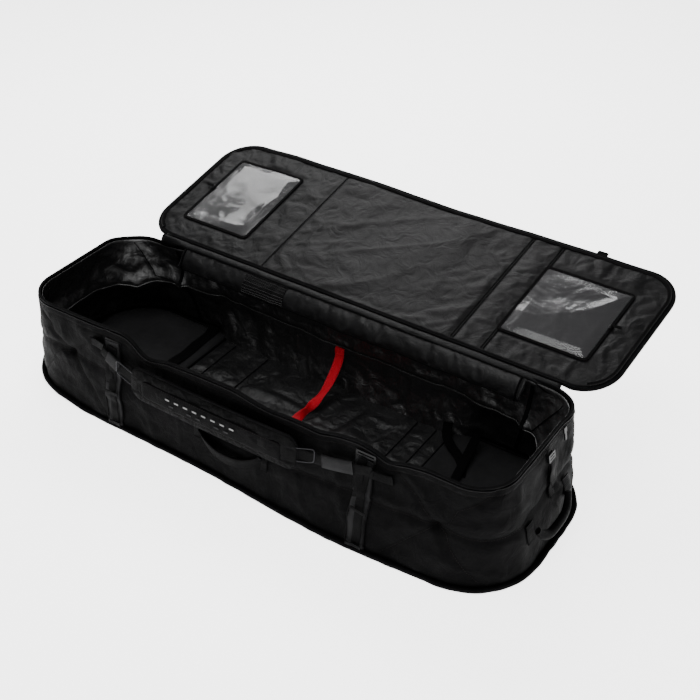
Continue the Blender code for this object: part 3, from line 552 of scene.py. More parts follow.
def joined(name, *parts):
    """One piece made of several."""
    points, faces, looks, face_looks = [], [], [], []
    for part in parts:
        start = len(points)
        points += [tuple(v.co) for v in part.data.vertices]
        base = len(looks)
        looks += list(part.data.materials)
        for face in part.data.polygons:
            faces.append(tuple(start + v for v in face.vertices))
            face_looks.append(base + face.material_index)
        bpy.data.objects.remove(part)
    unique = list(dict.fromkeys(looks))
    return add_piece(name, points, faces, (unique, [unique.index(looks[k]) for k in face_looks]))


def fold(piece):
    """The piece belongs to the walls that fold down with the rim."""
    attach(piece, "tub")
    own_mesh(piece)
    return piece


# -------------------------------------------------------------------- cloth

CLOTHS = []


def make_cloth(piece, pins, grow, bending, cap, pressure=0.0):
    """Puts the piece in line for the simulation. pins are the vertices that are sewn down."""
    group = piece.vertex_groups.new(name="sewn")
    group.add([int(k) for k in pins], 1.0, "REPLACE")
    cloth = piece.modifiers.new("cloth", "CLOTH")
    cloth.settings.quality = 5
    cloth.settings.mass = 0.15
    cloth.settings.tension_stiffness = CLOTH_STIFFNESS
    cloth.settings.compression_stiffness = CLOTH_STIFFNESS
    cloth.settings.shear_stiffness = CLOTH_STIFFNESS / 3
    cloth.settings.bending_stiffness = bending
    cloth.settings.vertex_group_mass = "sewn"
    cloth.settings.shrink_min = -grow
    cloth.settings.effector_weights.gravity = 0
    if pressure:
        cloth.settings.use_pressure = True
        cloth.settings.uniform_pressure_force = pressure
    cloth.point_cache.frame_start = 1
    cloth.point_cache.frame_end = CLOTH_FRAMES
    CLOTHS.append((piece, cap))


def run_cloths():
    """Steps every waiting cloth together, then keeps the shapes, with no point moved further than its cap."""
    if not CLOTHS:
        return
    for frame_number in range(1, CLOTH_FRAMES + 1):
        SCENE.frame_set(frame_number)
    graph = bpy.context.evaluated_depsgraph_get()
    results = [mesh_coords(piece.evaluated_get(graph).to_mesh()) for piece, _ in CLOTHS]
    for (piece, cap), moved in zip(CLOTHS, results):
        piece.modifiers.clear()
        start = coords(piece)
        step = moved - start
        size = np.linalg.norm(step, axis=1)[:, None]
        step *= cap * np.tanh(size / cap) / np.maximum(size, 1e-9)
        set_coords(piece, start + step)
    CLOTHS.clear()
    SCENE.frame_set(1)


def mesh_coords(mesh):
    found = np.empty(len(mesh.vertices) * 3)
    mesh.vertices.foreach_get("co", found)
    return found.reshape(-1, 3)


def coords(piece):
    return mesh_coords(piece.data)


def set_coords(piece, points):
    piece.data.vertices.foreach_set("co", np.asarray(points, float).ravel())
    piece.data.update()


# --------------------------------------------------------- the tub's outside

# Crease lines sewn into the walls, as (q, z) corners. Each corner of the bag has a star of folds.
NODES = {"front_left": (q_front(-0.56), 0.172), "front_right": (q_front(0.60), 0.158),
         "back_right": (q_back(0.58), 0.160), "back_left": (q_back(-0.56), 0.165)}
WAIST = [(q_front(-0.56), 0.172), (q_front(-0.30), 0.150), (q_front(0.1), 0.142), (q_front(0.35), 0.150),
         (q_front(0.60), 0.158), (1.5, 0.142), (2.1, 0.150), (2.5, 0.158), (3.0, 0.150), (3.6, 0.148),
         (q_back(0.58), 0.160), (q_back(0.0), 0.150), (q_back(-0.56), 0.165), (5.5, 0.148), (6.5, 0.158),
         (7.5, 0.150), (8 + q_front(-0.56), 0.172)]
STARS = []
for (q, z), turn in zip(NODES.values(), (-1, 1, -1, 1)):
    STARS += [[(q, z), (q + turn * 0.10, z + 0.06), (q + turn * 0.62, 0.283)],
              [(q, z), (q + turn * 0.10, z - 0.05), (q + turn * 0.42, 0.020)],
              [(q, z), (q - turn * 0.11, 0.283)], [(q, z), (q - turn * 0.10, 0.020)]]


def wrinkled_walls(points, seed, depth, lines, inner=False):
    """Offset of the wall's cloth along outward, in metres."""
    offset = np.zeros(points.shape[:-1])
    high = points[..., 2] / RIM_TOP
    for line, valley, width in lines:
        reach = nearest(points, line)
        offset -= valley * np.exp(-(reach / width) ** 2)
    free = np.clip(high * 12, 0, 1) * np.clip((1 - high) * 10, 0, 1)
    upright = points * (1, 1, 0.35)
    slanted = points @ np.array(((1, 0, 0.5), (0, 1, 0.5), (-0.6, 0.2, 1)))
    offset += free * depth * (0.8 * field(upright, 13, seed) + 0.45 * field(slanted, 24, seed + 5))
    offset += free * depth * (0.55 * ridges(slanted, 9, seed + 11) + 0.35 * ridges(upright, 17, seed + 17))
    offset += free * depth * 0.22 * ridges(points, 34, seed + 23)
    draped = points * (1, 1, 0.22) + points[..., 2:] * (0.3, 0, 0)
    offset += free * depth * 0.9 * ridges(draped, 6.5, seed + 29)
    if not inner:
        handle = hump(points[..., 0], -0.03, 0.30) * smooth(-0.15, -0.2, points[..., 1])
        handle = handle * smooth(0.11, 0.15, points[..., 2])
        offset = offset * (1 - 0.65 * handle)
    return offset


PLACES = stations()
OUT = unit(np.stack([np.cos(PLACES[:, 2]), np.sin(PLACES[:, 2]), np.full(len(PLACES), WALL_RISE)], -1))
# The lines sewn down, each with its depth and width
OUTER_LINES = [(trace(WAIST)[0], 0.0050, 0.012)] + [(trace(star)[0], 0.0032, 0.010) for star in STARS]


def outer_offset(points):
    offset = wrinkled_walls(points, 3, 0.0055, OUTER_LINES)
    high = points[..., 2] / RIM_TOP
    front = smooth(-0.12, -0.2, points[..., 1])
    offset += front * 0.004 * np.sin(math.pi * np.clip(high, 0, 1)) * hump(points[..., 0], 0.0, 0.5)
    return offset


def outer_surface(points, outward, lift=0.0):
    """Where a point of the upright loft ends up on the outside of the cloth."""
    return slump(points + outward * (outer_offset(points) + lift)[..., None])


def tub_skin():
    z = np.linspace(0.006, RIM_TOP, 50)
    flat = loft(PLACES, z)
    flange = slump(loft(PLACES, np.array([0.0045]), -0.0085))
    points = np.concatenate([flange, outer_surface(flat, OUT[:, None, :])], 1)
    skin = add_grid("tub_skin", points, SHELL, wrap=True)
    thicken(skin, 0.003)
    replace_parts(fold(skin), "lower_wall_front", "lower_wall_back", "lower_wall_left", "lower_wall_right",
                "upper_wall_front", "upper_wall_back", "upper_wall_left", "upper_wall_right")
    for k, route in enumerate([WAIST] + STARS):
        line, outward = trace(route, step=0.006)
        outward = unit(outward)
        fold(stitches("crease_stitch_%02d" % k, outer_surface(line, outward, 0.0006), outward, THREAD))


def rim_edge():
    line = slump(loft(PLACES, np.array([RIM_TOP + 0.001]), 0.0015)[:, 0])
    cord = tube("rim_piping", resample(line, 0.006, True), 0.0042, TAPE, closed=True, sides=10)
    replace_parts(fold(cord), "rim_binding")
    z = np.linspace(0.270, 0.285, 4)
    tape = add_grid("rim_zip_cloth", outer_surface(loft(PLACES, z), OUT[:, None, :], 0.0012), TAPE, wrap=True)
    thicken(tape, 0.0012)
    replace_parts(fold(tape), "rim_zip_tape")
    teeth = outer_surface(loft(PLACES, np.array([0.2855])), OUT[:, None, :], 0.0022)[:, 0]
    teeth = resample(teeth, 0.0016, True)
    radius = 0.0014 + 0.0006 * (np.arange(len(teeth)) % 2)
    fold(tube("rim_zip_teeth", teeth, radius, PLASTIC, closed=True, sides=6))
    for k, height in enumerate((0.2715, 0.2815)):
        line = outer_surface(loft(PLACES, np.array([height])), OUT[:, None, :], 0.0030)[:, 0]
        fold(stitches("rim_stitch_%d" % k, line, OUT, THREAD, closed=True))


def base_edge():
    ring = loft(PLACES, np.array([0.004]), -0.0085)[:, 0]
    ring = slump(ring + OUT * 0.0015 * field(ring, 40, 8)[:, None])
    ring[:, 2] = np.maximum(ring[:, 2], 0.0058)
    cord = tube("base_piping_cord", resample(ring, 0.007, True), 0.0058, TAPE, closed=True, sides=10)
    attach(cord, "tub")
    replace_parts(cord, "base_piping")
    share = np.linspace(0.02, 1, 30)[None, :, None]
    middle = ring * (0, 0, 1)
    under = middle[:, None] + (ring - middle)[:, None] * share
    under[..., 2] = 0.0012 + (under[..., 2] - 0.0012) * share[..., 0] ** 6
    sheet = thicken(add_grid("base_cloth", under[:, ::-1], SHELL, wrap=True), 0.0010, offset=0.0)
    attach(sheet, "tub")
    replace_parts(sheet, "base_panel")


# ---------------------------------------------------------- the tub's inside

INNER_NODES = {"back_right": (q_back(0.60), 0.160), "back_left": (q_back(-0.545), 0.168),
               "front_left": (q_front(-0.56), 0.165), "front_right": (q_front(0.60), 0.158)}
INNER_STARS = []
for (q, z), turn in zip(INNER_NODES.values(), (-1, 1, -1, 1)):
    INNER_STARS += [[(q, z), (q + turn * 0.55, 0.285)], [(q, z), (q + turn * 0.45, 0.016)],
                    [(q, z), (q, 0.285)], [(q, z), (q - turn * 0.02, 0.016)]]


def inner_offset(points):
    lines = [(trace(WAIST)[0], 0.020, 0.032)]
    lines += [(trace(star)[0], 0.006, 0.012) for star in INNER_STARS]
    offset = wrinkled_walls(points, 40, 0.0045, lines, inner=True)
    x, y, z = points[..., 0], points[..., 1], points[..., 2]
    back = smooth(0.12, 0.2, y)
    low = np.clip(1 - z / CREASE, 0, 1)
    bulge = 0.050 * low ** 1.2 - 0.012 * hump(z, CREASE, 0.04)
    offset -= back * smooth(0.46, 0.40, np.abs(x - 0.01)) * bulge
    for side in (-1, 1):
        apex = np.array((side * 0.705, 0.185, 0.158))
        offset -= 0.052 * np.exp(-(np.linalg.norm(points - apex, axis=-1) / 0.095) ** 2)
    return offset


def tub_lining():
    z = np.linspace(FLOOR_TOP + 0.001, RIM_TOP - 0.003, 44)
    flat = loft(PLACES, z, 0.0075)
    offset = np.minimum(inner_offset(flat), outer_offset(flat) + 0.0005)
    edge = np.clip((RIM_TOP - flat[..., 2]) / 0.03, 0, 1)
    points = slump(flat + OUT[:, None, :] * (offset * edge - 0.0015)[..., None])
    lining = add_grid("tub_lining", points, SATIN, wrap=True)
    count = len(z)
    index = np.arange(len(PLACES) * count).reshape(len(PLACES), count)
    sewn = np.zeros(index.shape, bool)
    sewn[:, :2] = sewn[:, -3:] = True
    sewn |= nearest(flat, trace(WAIST)[0]) < 0.012
    for star in INNER_STARS:
        sewn |= nearest(flat, trace(star)[0]) < 0.0095
    make_cloth(lining, index[sewn], grow=0.024, bending=0.12, cap=0.012)
    return lining, flat


FLOOR_SEAMS = (-0.345, -0.225, 0.290, 0.350)


def floor_lining():
    xs, ys = np.linspace(-0.775, 0.775, 240), np.linspace(-0.242, 0.242, 80)
    x, y = np.meshgrid(xs, ys, indexing="ij")
    r = 0.165
    y = y * round_limit(np.clip(np.abs(x) - (0.775 - r), 0, None), 0.242, r) / 0.242
    flat = on_plane(x, y)
    z = FLOOR_TOP + 0.0022 * ridges(flat, 11, 60) + 0.001 * field(flat, 30, 61)
    sheet = add_grid("floor_satin", np.stack([x, y, z], -1), FLOOR_SATIN)
    index = np.arange(x.size).reshape(x.shape)
    sewn = edge_mask(x.shape)
    for seam in (-0.392, 0.392) + FLOOR_SEAMS:
        sewn |= np.abs(x - seam) < 0.0045
    make_cloth(sheet, index[sewn], grow=0.016, bending=0.10, cap=0.008)
    return sheet


def settle_lining(lining, flat, sheet):
    points = coords(lining).reshape(flat.shape)
    lining_normal = OUT[:, None, :]
    # the cloth stays on the inner side of the walls
    limit = slump(flat + lining_normal * (outer_offset(flat) + 0.001)[..., None])
    past = ((points - limit) * lining_normal).sum(-1)
    points = points - lining_normal * np.clip(past + 0.0015, 0, None)[..., None]
    set_coords(lining, points.reshape(-1, 3))
    thicken(lining, 0.0008, offset=1.0)
    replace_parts(fold(lining), )
    points = coords(sheet)
    free = smooth(0.392, 0.380, np.abs(points[:, 0]))
    for seam in FLOOR_SEAMS:
        free *= 1 - 0.8 * hump(points[:, 0], seam, 0.010)
    points[:, 2] = FLOOR_TOP + 0.0008 + free * np.abs(points[:, 2] - FLOOR_TOP)
    set_coords(sheet, points)
    thicken(sheet, 0.0008, offset=-1.0)
    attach(sheet, "tub")
    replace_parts(sheet, "floor_lining")
    for k, seam in enumerate(FLOOR_SEAMS):
        line = np.array([(seam, y, FLOOR_TOP + 0.0030) for y in np.linspace(-0.20, 0.20, 60)])
        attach(tube("floor_seam_%d" % k, line, 0.0013, TAPE, sides=6), "tub")
        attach(stitches("floor_thread_%d" % k, line + (0, 0, 0.0013), (0, 0, 1), THREAD), "tub")


def inside_seams():
    line, outward = trace(WAIST, 0.0075, step=0.006)
    inner = unit(outward)
    ridge = slump(line + inner * (np.minimum(inner_offset(line), 0) - 0.004)[:, None])
    fold(tube("waist_piping", resample(ridge, 0.006, True), 0.0022, SATIN, closed=True, sides=8))
    for k, star in enumerate(INNER_STARS):
        line, outward = trace(star, 0.0075, step=0.008)
        inner = unit(outward)
        points = slump(line + inner * (inner_offset(line) - 0.004)[:, None])
        points[:, 2] = np.maximum(points[:, 2], MAT_TOP)
        upright = k % 4 == 2 or k % 4 == 3
        if upright and k < 8:
            across = np.cross(inner, directions(points))
            fold(band("corner_binding_%02d" % k, points, across, 0.011, 0.002, TAPE))
        else:
            fold(tube("corner_seam_%02d" % k, points, 0.0014, TAPE, sides=6))


def floor_mats():
    for name, side in (("left", -1), ("right", 1)):
        xs, ys = np.linspace(0.394, 0.762, 60), np.linspace(-0.228, 0.228, 70)
        x, y = np.meshgrid(xs, ys, indexing="ij")
        r = 0.15
        limit = round_limit(np.clip(x - (0.762 - r), 0, None), 0.228, r)
        edge_x = np.minimum(x - 0.394, 0.762 - x)
        edge_y = (0.228 - np.abs(y)) * limit / 0.228
        swell = np.clip(np.minimum(edge_x, edge_y) / 0.012, 0, 1)
        swell = np.sqrt(1 - (1 - swell) ** 2)
        flat = on_plane(side * x, y * limit / 0.228)
        top = flat.copy()
        top[..., 2] = 0.0150 + swell * (0.0072 + 0.0016 * field(flat, 14, 70) + 0.0012 * ridges(flat, 12, 71))
        bottom = flat[:, ::-1].copy()
        bottom[..., 2] = 0.0142
        n, m = x.shape
        faces = grid_faces(n, m, 0, side < 0) + grid_faces(n, m, n * m, side < 0)
        top_edge = grid_edge(n, m)
        low_edge = [n * m + (k // m) * m + (m - 1 - k % m) for k in top_edge]
        for k in range(len(top_edge)):
            a, b = top_edge[k], top_edge[(k + 1) % len(top_edge)]
            c, d = low_edge[(k + 1) % len(top_edge)], low_edge[k]
            faces.append((b, a, d, c) if side > 0 else (a, b, c, d))
        points = np.vstack([top.reshape(-1, 3), bottom.reshape(-1, 3)])
        mat = add_piece("floor_mat_" + name, points, faces, MAT)
        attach(mat, "tub")
        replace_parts(mat, "floor_pad_" + name)
        rim = top.reshape(-1, 3)[top_edge] + (0, 0, 0.0015)
        edge = tube("floor_mat_edge_" + name, resample(rim, 0.008, True), 0.0028, TAPE, closed=True)
        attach(edge, "tub")


# ---------------------------------------------------------------------- lid

def lid_at(x, y, z):
    """World points for places on the tilted lid: x along it, y from its hinge, z out of its inner side."""
    x, y, z = np.broadcast_arrays(np.asarray(x, float), np.asarray(y, float), np.asarray(z, float))
    far = np.clip(y / 0.44, 0, 1)
    x = x + 0.018 + 0.034 * far
    flat = np.stack([x, 0 * x, 0 * x], -1)
    z = z + far ** 1.5 * (0.007 * field(flat, 4.2, 90) + 0.002 * field(flat, 11, 91))
    y = y + far * 0.004 * field(flat, 6, 92)
    c, s = math.cos(LID_TILT), math.sin(LID_TILT)
    return np.stack([x, HINGE[1] + c * y - s * z, HINGE[2] + s * y + c * z], -1)


LID_UP = np.array((0, -math.sin(LID_TILT), math.cos(LID_TILT)))


def outline(x0, x1, y0, y1, r, count=12):
    """Corners and arcs of a rounded rectangle, as (x, y)."""
    points = []
    for cx, cy, start in ((x1 - r, y0 + r, -90), (x1 - r, y1 - r, 0),
                          (x0 + r, y1 - r, 90), (x0 + r, y0 + r, 180)):
        for k in range(count + 1):
            turn = math.radians(start + 90 * k / count)
            points.append((cx + r * math.cos(turn), cy + r * math.sin(turn)))
    return points


def lid_path(x0, x1, y0, y1, r, z):
    """A rounded rectangle on the lid."""
    flat = resample([(x, y, 0) for x, y in outline(x0, x1, y0, y1, r)], 0.006, True)
    return lid_at(flat[:, 0], flat[:, 1], z)


def three_sides(inset, z, step=0.006):
    """The lid's outline without its hinge side."""
    path = outline(LID_X[0] + inset, LID_X[1] - inset, LID_Y[0] + inset, LID_Y[1] - inset, LID_CORNER - inset)
    flat = resample([(x, y, 0) for x, y in path[4:-4]], step)
    return lid_at(flat[:, 0], flat[:, 1], z)


def lid_grid(inset, n, m):
    """Even grid over the lid's outline."""
    x0, x1, y0, y1 = LID_X[0] + inset, LID_X[1] - inset, LID_Y[0] + inset, LID_Y[1] - inset
    r = LID_CORNER - inset
    x, y = np.meshgrid(np.linspace(x0, x1, n), np.linspace(-1, 1, m), indexing="ij")
    middle, half = (y0 + y1) / 2, (y1 - y0) / 2
    corner = np.clip(np.maximum(x0 + r - x, x - x1 + r), 0, None)
    return x, middle + y * round_limit(corner, half, r)


# Each window's middle and size on the lid, and the seams across its lining
WINDOWS = {"left": (-0.517, 0.225, 0.225, 0.270), "right": (0.549, 0.2205, 0.245, 0.245)}
LID_SEAMS = (-0.285, 0.335, 0.425)


def past_window(x, y, window):
    """How far a place lies outside a window's edge; less than 0 is inside."""
    cx, cy, w, h = window
    return np.maximum(np.abs(x - cx) - w / 2, np.abs(y - cy) - h / 2)


def lid_lining():
    x, y = lid_grid(0.006, 236, 74)
    flat = on_plane(x, y)
    z = 0.0010 + 0.0010 * ridges(flat @ np.array(((1, 0.4, 0), (-0.5, 1, 0), (0, 0, 1))), 6, 80)
    z += 0.0006 * ridges(flat, 15, 83) + 0.0010 * field(flat, 5, 81)
    z = z * lid_press(x, y)
    sheet = add_grid("lid_satin", lid_at(x, y, z), LID_SATIN)
    index = np.arange(x.size).reshape(x.shape)
    sewn = edge_mask(x.shape)
    for seam in LID_SEAMS:
        sewn |= np.abs(x - seam) < 0.0040
    for window in WINDOWS.values():
        reach = past_window(x, y, window)
        sewn |= (reach > -0.004) & (reach < 0.012)
    make_cloth(sheet, index[sewn], grow=0.009, bending=0.06, cap=0.006)
    return sheet


def lid_press(x, y):
    """How freely the lining lifts: little at its seams and under the windows."""
    free = 1 - 0.80 * hump(x, 0.03, 0.27) * smooth(0.01, 0.07, y)
    for seam in LID_SEAMS:
        free *= 1 - 0.85 * hump(x, seam, 0.010)
    for window in WINDOWS.values():
        reach = past_window(x, y, window)
        free *= 0.12 + 0.88 * smooth(0.004, 0.020, reach)
    return free


def settle_lid(sheet):
    points = coords(sheet)
    local = (points - HINGE) @ LID_UP
    x, y = lid_grid(0.006, 236, 74)
    base = (lid_at(x, y, 0 * x).reshape(-1, 3) - HINGE) @ LID_UP
    above = local - base
    press = lid_press(x, y).ravel()
    # long folds that cross the lid's middle panel
    pulled = on_plane(0.17 * (0.84 * x + 0.54 * y), 0.84 * y - 0.54 * x).reshape(-1, 3)
    tension = 0.0034 * ridges(pulled, 8, 86) + 0.0016 * ridges(pulled, 17, 87)
    tension = tension + 0.0012 * field(pulled, 11, 88)
    away = smooth(0.0, 0.03, np.minimum(y - LID_Y[0], LID_Y[1] - y))
    away = away * smooth(0.0, 0.02, 0.33 - x) * smooth(0.0, 0.02, x + 0.28)
    points += LID_UP * (0.0006 + np.abs(above) * press + tension * away.ravel() - above)[:, None]
    set_coords(sheet, points)
    thicken(sheet, 0.0008, offset=-1.0)
    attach(sheet, "lid")
    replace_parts(sheet, "lid_lining")


def lid_shell():
    """The lid's foam and outer fabric: a thin quilted board under the lining."""
    x, y = lid_grid(0.004, 200, 60)
    flat = on_plane(x, y)
    core = add_grid("lid_core", lid_at(x, y, -0.0006), MAT)
    thicken(core, 0.0062, offset=-1.0)
    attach(core, "lid")
    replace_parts(core, "lid_foam")
    z = -0.0072 - 0.0016 * ridges(flat @ np.array(((1, 0.3, 0), (-0.3, 1, 0), (0, 0, 1))), 7, 84)
    z = z - 0.0010 * field(flat, 5, 85)
    under = add_grid("lid_outer_cloth", lid_at(x, y, z), SHELL)
    thicken(under, 0.0012, offset=-1.0)
    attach(under, "lid")
    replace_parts(under, "lid_outer_panel")
    path = lid_path(*LID_X, *LID_Y, LID_CORNER, -0.0040)
    free = smooth(0.012, 0.045, ((path - HINGE) * (0, math.cos(LID_TILT), math.sin(LID_TILT))).sum(1))
    free = np.maximum(free, smooth(0.0, 0.03, np.maximum(-0.605 - path[:, 0], path[:, 0] - 0.675)))
    path = path - LID_UP * (0.0015 * (1 - free))[:, None]
    edge = tube("lid_edge", path, 0.0022 + 0.0040 * free, TAPE, closed=True, sides=12)
    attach(edge, "lid")
    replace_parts(edge, "lid_binding")
    path = three_sides(0.010, 0.0030)
    tape = band("lid_zip_cloth", path, np.cross(directions(path), LID_UP), 0.011, 0.0016, TAPE)
    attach(tape, "lid")
    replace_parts(tape, "lid_zip_tape")
    path = three_sides(0.0055, 0.0030, step=0.0018)
    radius = 0.0012 + 0.0005 * (np.arange(len(path)) % 2)
    teeth = tube("lid_zip_teeth", path, radius, PLASTIC, up=LID_UP, sides=6)
    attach(teeth, "lid")
    for k, inset in enumerate((0.0070, 0.0140)):
        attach(stitches("lid_edge_stitch_%d" % k, three_sides(inset, 0.0040), LID_UP, THREAD), "lid")
    for k, seam in enumerate(LID_SEAMS):
        for side in ((-0.0035, 0.0035) if k else (0,)):
            y = np.linspace(LID_Y[0] + 0.012, LID_Y[1] - 0.012, 80)
            line = lid_at(seam + side, y, 0.0026)
            name = "lid_seam_%d%s" % (k, "_b" if side > 0 else "")
            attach(tube(name, line, 0.0011, TAPE, up=LID_UP, sides=6), "lid")
            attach(stitches(name + "_thread", line + LID_UP * 0.0011, LID_UP, THREAD), "lid")


def band_closed(name, path, across, width, thickness, look):
    """Flat tape round a closed path."""
    over = np.cross(directions(path, True), across)
    half, t = width / 2, thickness / 2
    rows = [path + across * half * a + over * t * b
            for a, b in ((-1, 0), (-0.9, -1), (0.9, -1), (1, 0), (0.9, 1), (-0.9, 1))]
    return add_piece(name, np.stack(rows, 1).reshape(-1, 3), section_faces(len(path), 6, True), look)


def windows():
    for name, (cx, cy, w, h) in WINDOWS.items():
        def round_window(grow, z):
            return lid_path(cx - w / 2 - grow, cx + w / 2 + grow, cy - h / 2 - grow, cy + h / 2 + grow, 0.010, z)

        x, y = np.meshgrid(np.linspace(cx - w / 2 - 0.004, cx + w / 2 + 0.004, 70),
                           np.linspace(cy - h / 2 - 0.004, cy + h / 2 + 0.004, 70), indexing="ij")
        flat = on_plane(x, y)
        inside = np.minimum(w / 2 + 0.004 - np.abs(x - cx), h / 2 + 0.004 - np.abs(y - cy))
        edge = np.clip(inside / 0.03, 0, 1)
        folds = flat @ np.array(((1, 0.6, 0), (-0.6, 1, 0), (0, 0, 1)))
        z = 0.0024 + edge * (0.0014 + 0.0026 * field(flat, 6, 95) + 0.0040 * ridges(folds, 5, 96)
                             + 0.0003 * ridges(flat, 26, 97))
        film = thicken(add_grid("window_sheet_" + name, lid_at(x, y, z + 0.0006), FILM), 0.0006)
        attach(film, "lid")
        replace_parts(film, "window_film_" + name)
        path = round_window(0.003, 0.0030)
        across = unit(np.cross(directions(path, True), LID_UP))
        tape = band_closed("window_tape_" + name, path, across, 0.0095, 0.0018, TAPE)
        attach(tape, "lid")
        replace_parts(tape, "window_frame_" + name)
        for k, side in enumerate((-0.0034, 0.0034)):
            line = round_window(0.003 + side, 0.0040)
            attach(stitches("window_thread_%s_%d" % (name, k), line, LID_UP, THREAD, closed=True), "lid")


def window_pulls():
    """A slider with a cloth tab on each window's outer edge."""
    for name, (cx, cy, w, _) in WINDOWS.items():
        side = -1 if name == "left" else 1
        x = cx + side * (w / 2 + 0.003)
        s = np.linspace(-1, 1, 9)
        line = lid_at(x + 0 * s, cy + 0.0080 * s, 0.0088)
        radius = 0.0030 + 0.0022 * (1 - s ** 4)
        slide = tube("slide", line, radius, PLASTIC, up=LID_UP, sides=10, flatten=0.6)
        u = np.linspace(0, 1, 10)
        line = lid_at(x + side * 0.027 * u, cy + 0.005 * u, 0.0122 - 0.0025 * u)
        tab = band("tab", line, (0, 1, 0.29), 0.009, 0.0016, WEBBING)
        pull = joined("window_pull_tab_" + name, slide, tab)
        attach(pull, "window_slider_" + name)
        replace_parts(pull, "window_pull_" + name)


# -------------------------------------------------------------- hinge strip

def hinge_roll():
    """The padded strip that hangs along the back under the lid's hinge."""
    x0, x1 = -0.530, 0.590
    n, around = 190, 28
    x = np.linspace(x0, x1, n)
    turn = np.linspace(0, 2 * math.pi, around, endpoint=False)
    points = np.zeros((n, around, 3))
    for i in range(n):
        end = min(1.0, min(i, n - 1 - i) / 3.0)
        size = math.sqrt(max(0.04, 1 - (1 - end) ** 2))
        a = 0.0335 * np.cos(turn)
        b = 0.0090 * np.sin(turn) * (0.35 + 0.65 * np.abs(np.sin(turn)) ** 0.4) * size
        tilt = math.radians(50)
        y = 0.2035 - a * math.cos(tilt) + b * math.sin(tilt)
        z = 0.2665 - a * math.sin(tilt) - b * math.cos(tilt)
        points[i] = np.stack([np.full(around, x[i]), y - 0.002, z], 1)
    centre = points.mean(1, keepdims=True)
    out = unit(points - centre)
    swell = 0.0022 * ridges(points * (1, 0.6, 0.6), 15, 101) + 0.0020 * field(points, 12, 102)
    points += out * swell[..., None]
    faces = section_faces(n, around, False)
    # the roll wears the lid's satin painted lighter, painted light for the light its slope gets
    roll = add_piece("hinge_roll", points.reshape(-1, 3), faces, ROLL_SATIN_PAINTED_LIGHTER)
    index = np.arange(n * around).reshape(n, around)
    sewn = np.zeros(index.shape, bool)
    sewn[:, 0:1] = sewn[:, around // 2:around // 2 + 1] = True
    sewn[:2] = sewn[-2:] = True
    make_cloth(roll, index[sewn], grow=0.012, bending=0.2, pressure=0.6, cap=0.006)
    return roll, points[:, 0]


def settle_hinge(roll, low):
    points = coords(roll)
    points[:, 2] = np.minimum(points[:, 2], 0.2955)
    set_coords(roll, points)
    roll.data.materials.append(SATIN)
    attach(roll, "rim")
    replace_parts(roll, "hinge_strip")
    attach(tube("hinge_roll_edge", low, 0.0022, TAPE, sides=8), "rim")
    rows = points.reshape(len(low), -1, 3)
    for name, at in (("left", 2), ("right", -3)):
        ring = rows[at]
        ring = ring + unit(ring - ring.mean(0)) * 0.0012
        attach(tube("hinge_roll_end_" + name, ring, 0.0030, TAPE, up=(1, 0, 0), closed=True, sides=8), "rim")
    first, last = np.searchsorted(low[:, 0], (-0.295, -0.155))
    part = rows[first:last + 1]
    part = part + unit(part - part.mean(1, keepdims=True)) * 0.0016
    patch = add_grid("hinge_mesh_cloth", np.ascontiguousarray(part[:, 14:][:, ::-1]), MESH)
    thicken(patch, 0.0016, offset=0.0)
    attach(patch, "rim")
    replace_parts(patch, "mesh_patch")
    # raised threads of the spacer mesh
    knots, faces = [], []
    for i in range(0, part.shape[0] - 1):
        for j in range(15, part.shape[1] - 2):
            for di in (0.25, 0.75):
                spot = part[i, j] * (1 - di) + part[i + 1, j] * di
                out = unit(spot - part[i].mean(0))
                spot = spot + out * 0.0014
                o = len(knots)
                for dx, dz in ((1, 0), (0, 1), (-1, 0), (0, -1)):
                    knots.append(spot + np.array((dx * 0.0013, 0, dz * 0.0008)))
                knots.append(spot + out * 0.0010)
                knots.append(spot - out * 0.0010)
                for a, b in ((0, 1), (1, 2), (2, 3), (3, 0)):
                    faces += [(o + a, o + b, o + 4), (o + b, o + a, o + 5)]
    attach(add_piece("hinge_mesh_knots", knots, faces, KNOT, flat=True), "rim")
    # the dark cloth that joins the roll to the lid's hinge line
    xs = np.linspace(-0.62, 0.68, 120)
    rows = []
    tucked = smooth(0.545, 0.590, -xs) + smooth(0.60, 0.65, xs)
    for y, z, dip in ((0.210, 0.2925, 0.020), (0.217, 0.2955, 0.006), (0.223, 0.2980, 0), (0.2285, 0.2985, 0),
                      (0.2330, 0.2965, 0), (0.2385, 0.2900, 0)):
        wave = 0.0012 * field(np.stack([xs, 0 * xs, 0 * xs], -1), 22, 110)
        rows.append(np.stack([xs, np.full(120, y), z - dip * tucked + wave], 1))
    flap = add_grid("hinge_tape", np.stack(rows, 1), LID_SATIN)
    thicken(flap, 0.0014, offset=0.0)
    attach(flap, "rim")


# ------------------------------------------------------------ straps outside

def front(x, z, off):
    """A point off the front wall, and the wall's slope there."""
    x, z = np.broadcast_arrays(np.asarray(x, float), np.asarray(z, float))
    y = -(HALF_WIDTH[0] + (HALF_WIDTH[1] - HALF_WIDTH[0]) * z / HEIGHT) - off
    return np.stack([x, y, z], -1)


def end(y, z, off, side=1):
    y, z = np.broadcast_arrays(np.asarray(y, float), np.asarray(z, float))
    x = HALF_LENGTH[0] + (HALF_LENGTH[1] - HALF_LENGTH[0]) * z / HEIGHT + off
    return np.stack([side * x, y, z], -1)


def on_skin(points, outward, lift):
    """Puts points of the loft just off the finished cloth."""
    outward = unit(np.broadcast_to(np.asarray(outward, float), points.shape))
    return slump(points + outward * np.maximum(outer_offset(points) + lift, lift * 0.5)[..., None])


FRONT_OUT = np.array((0, -1, 0.12))


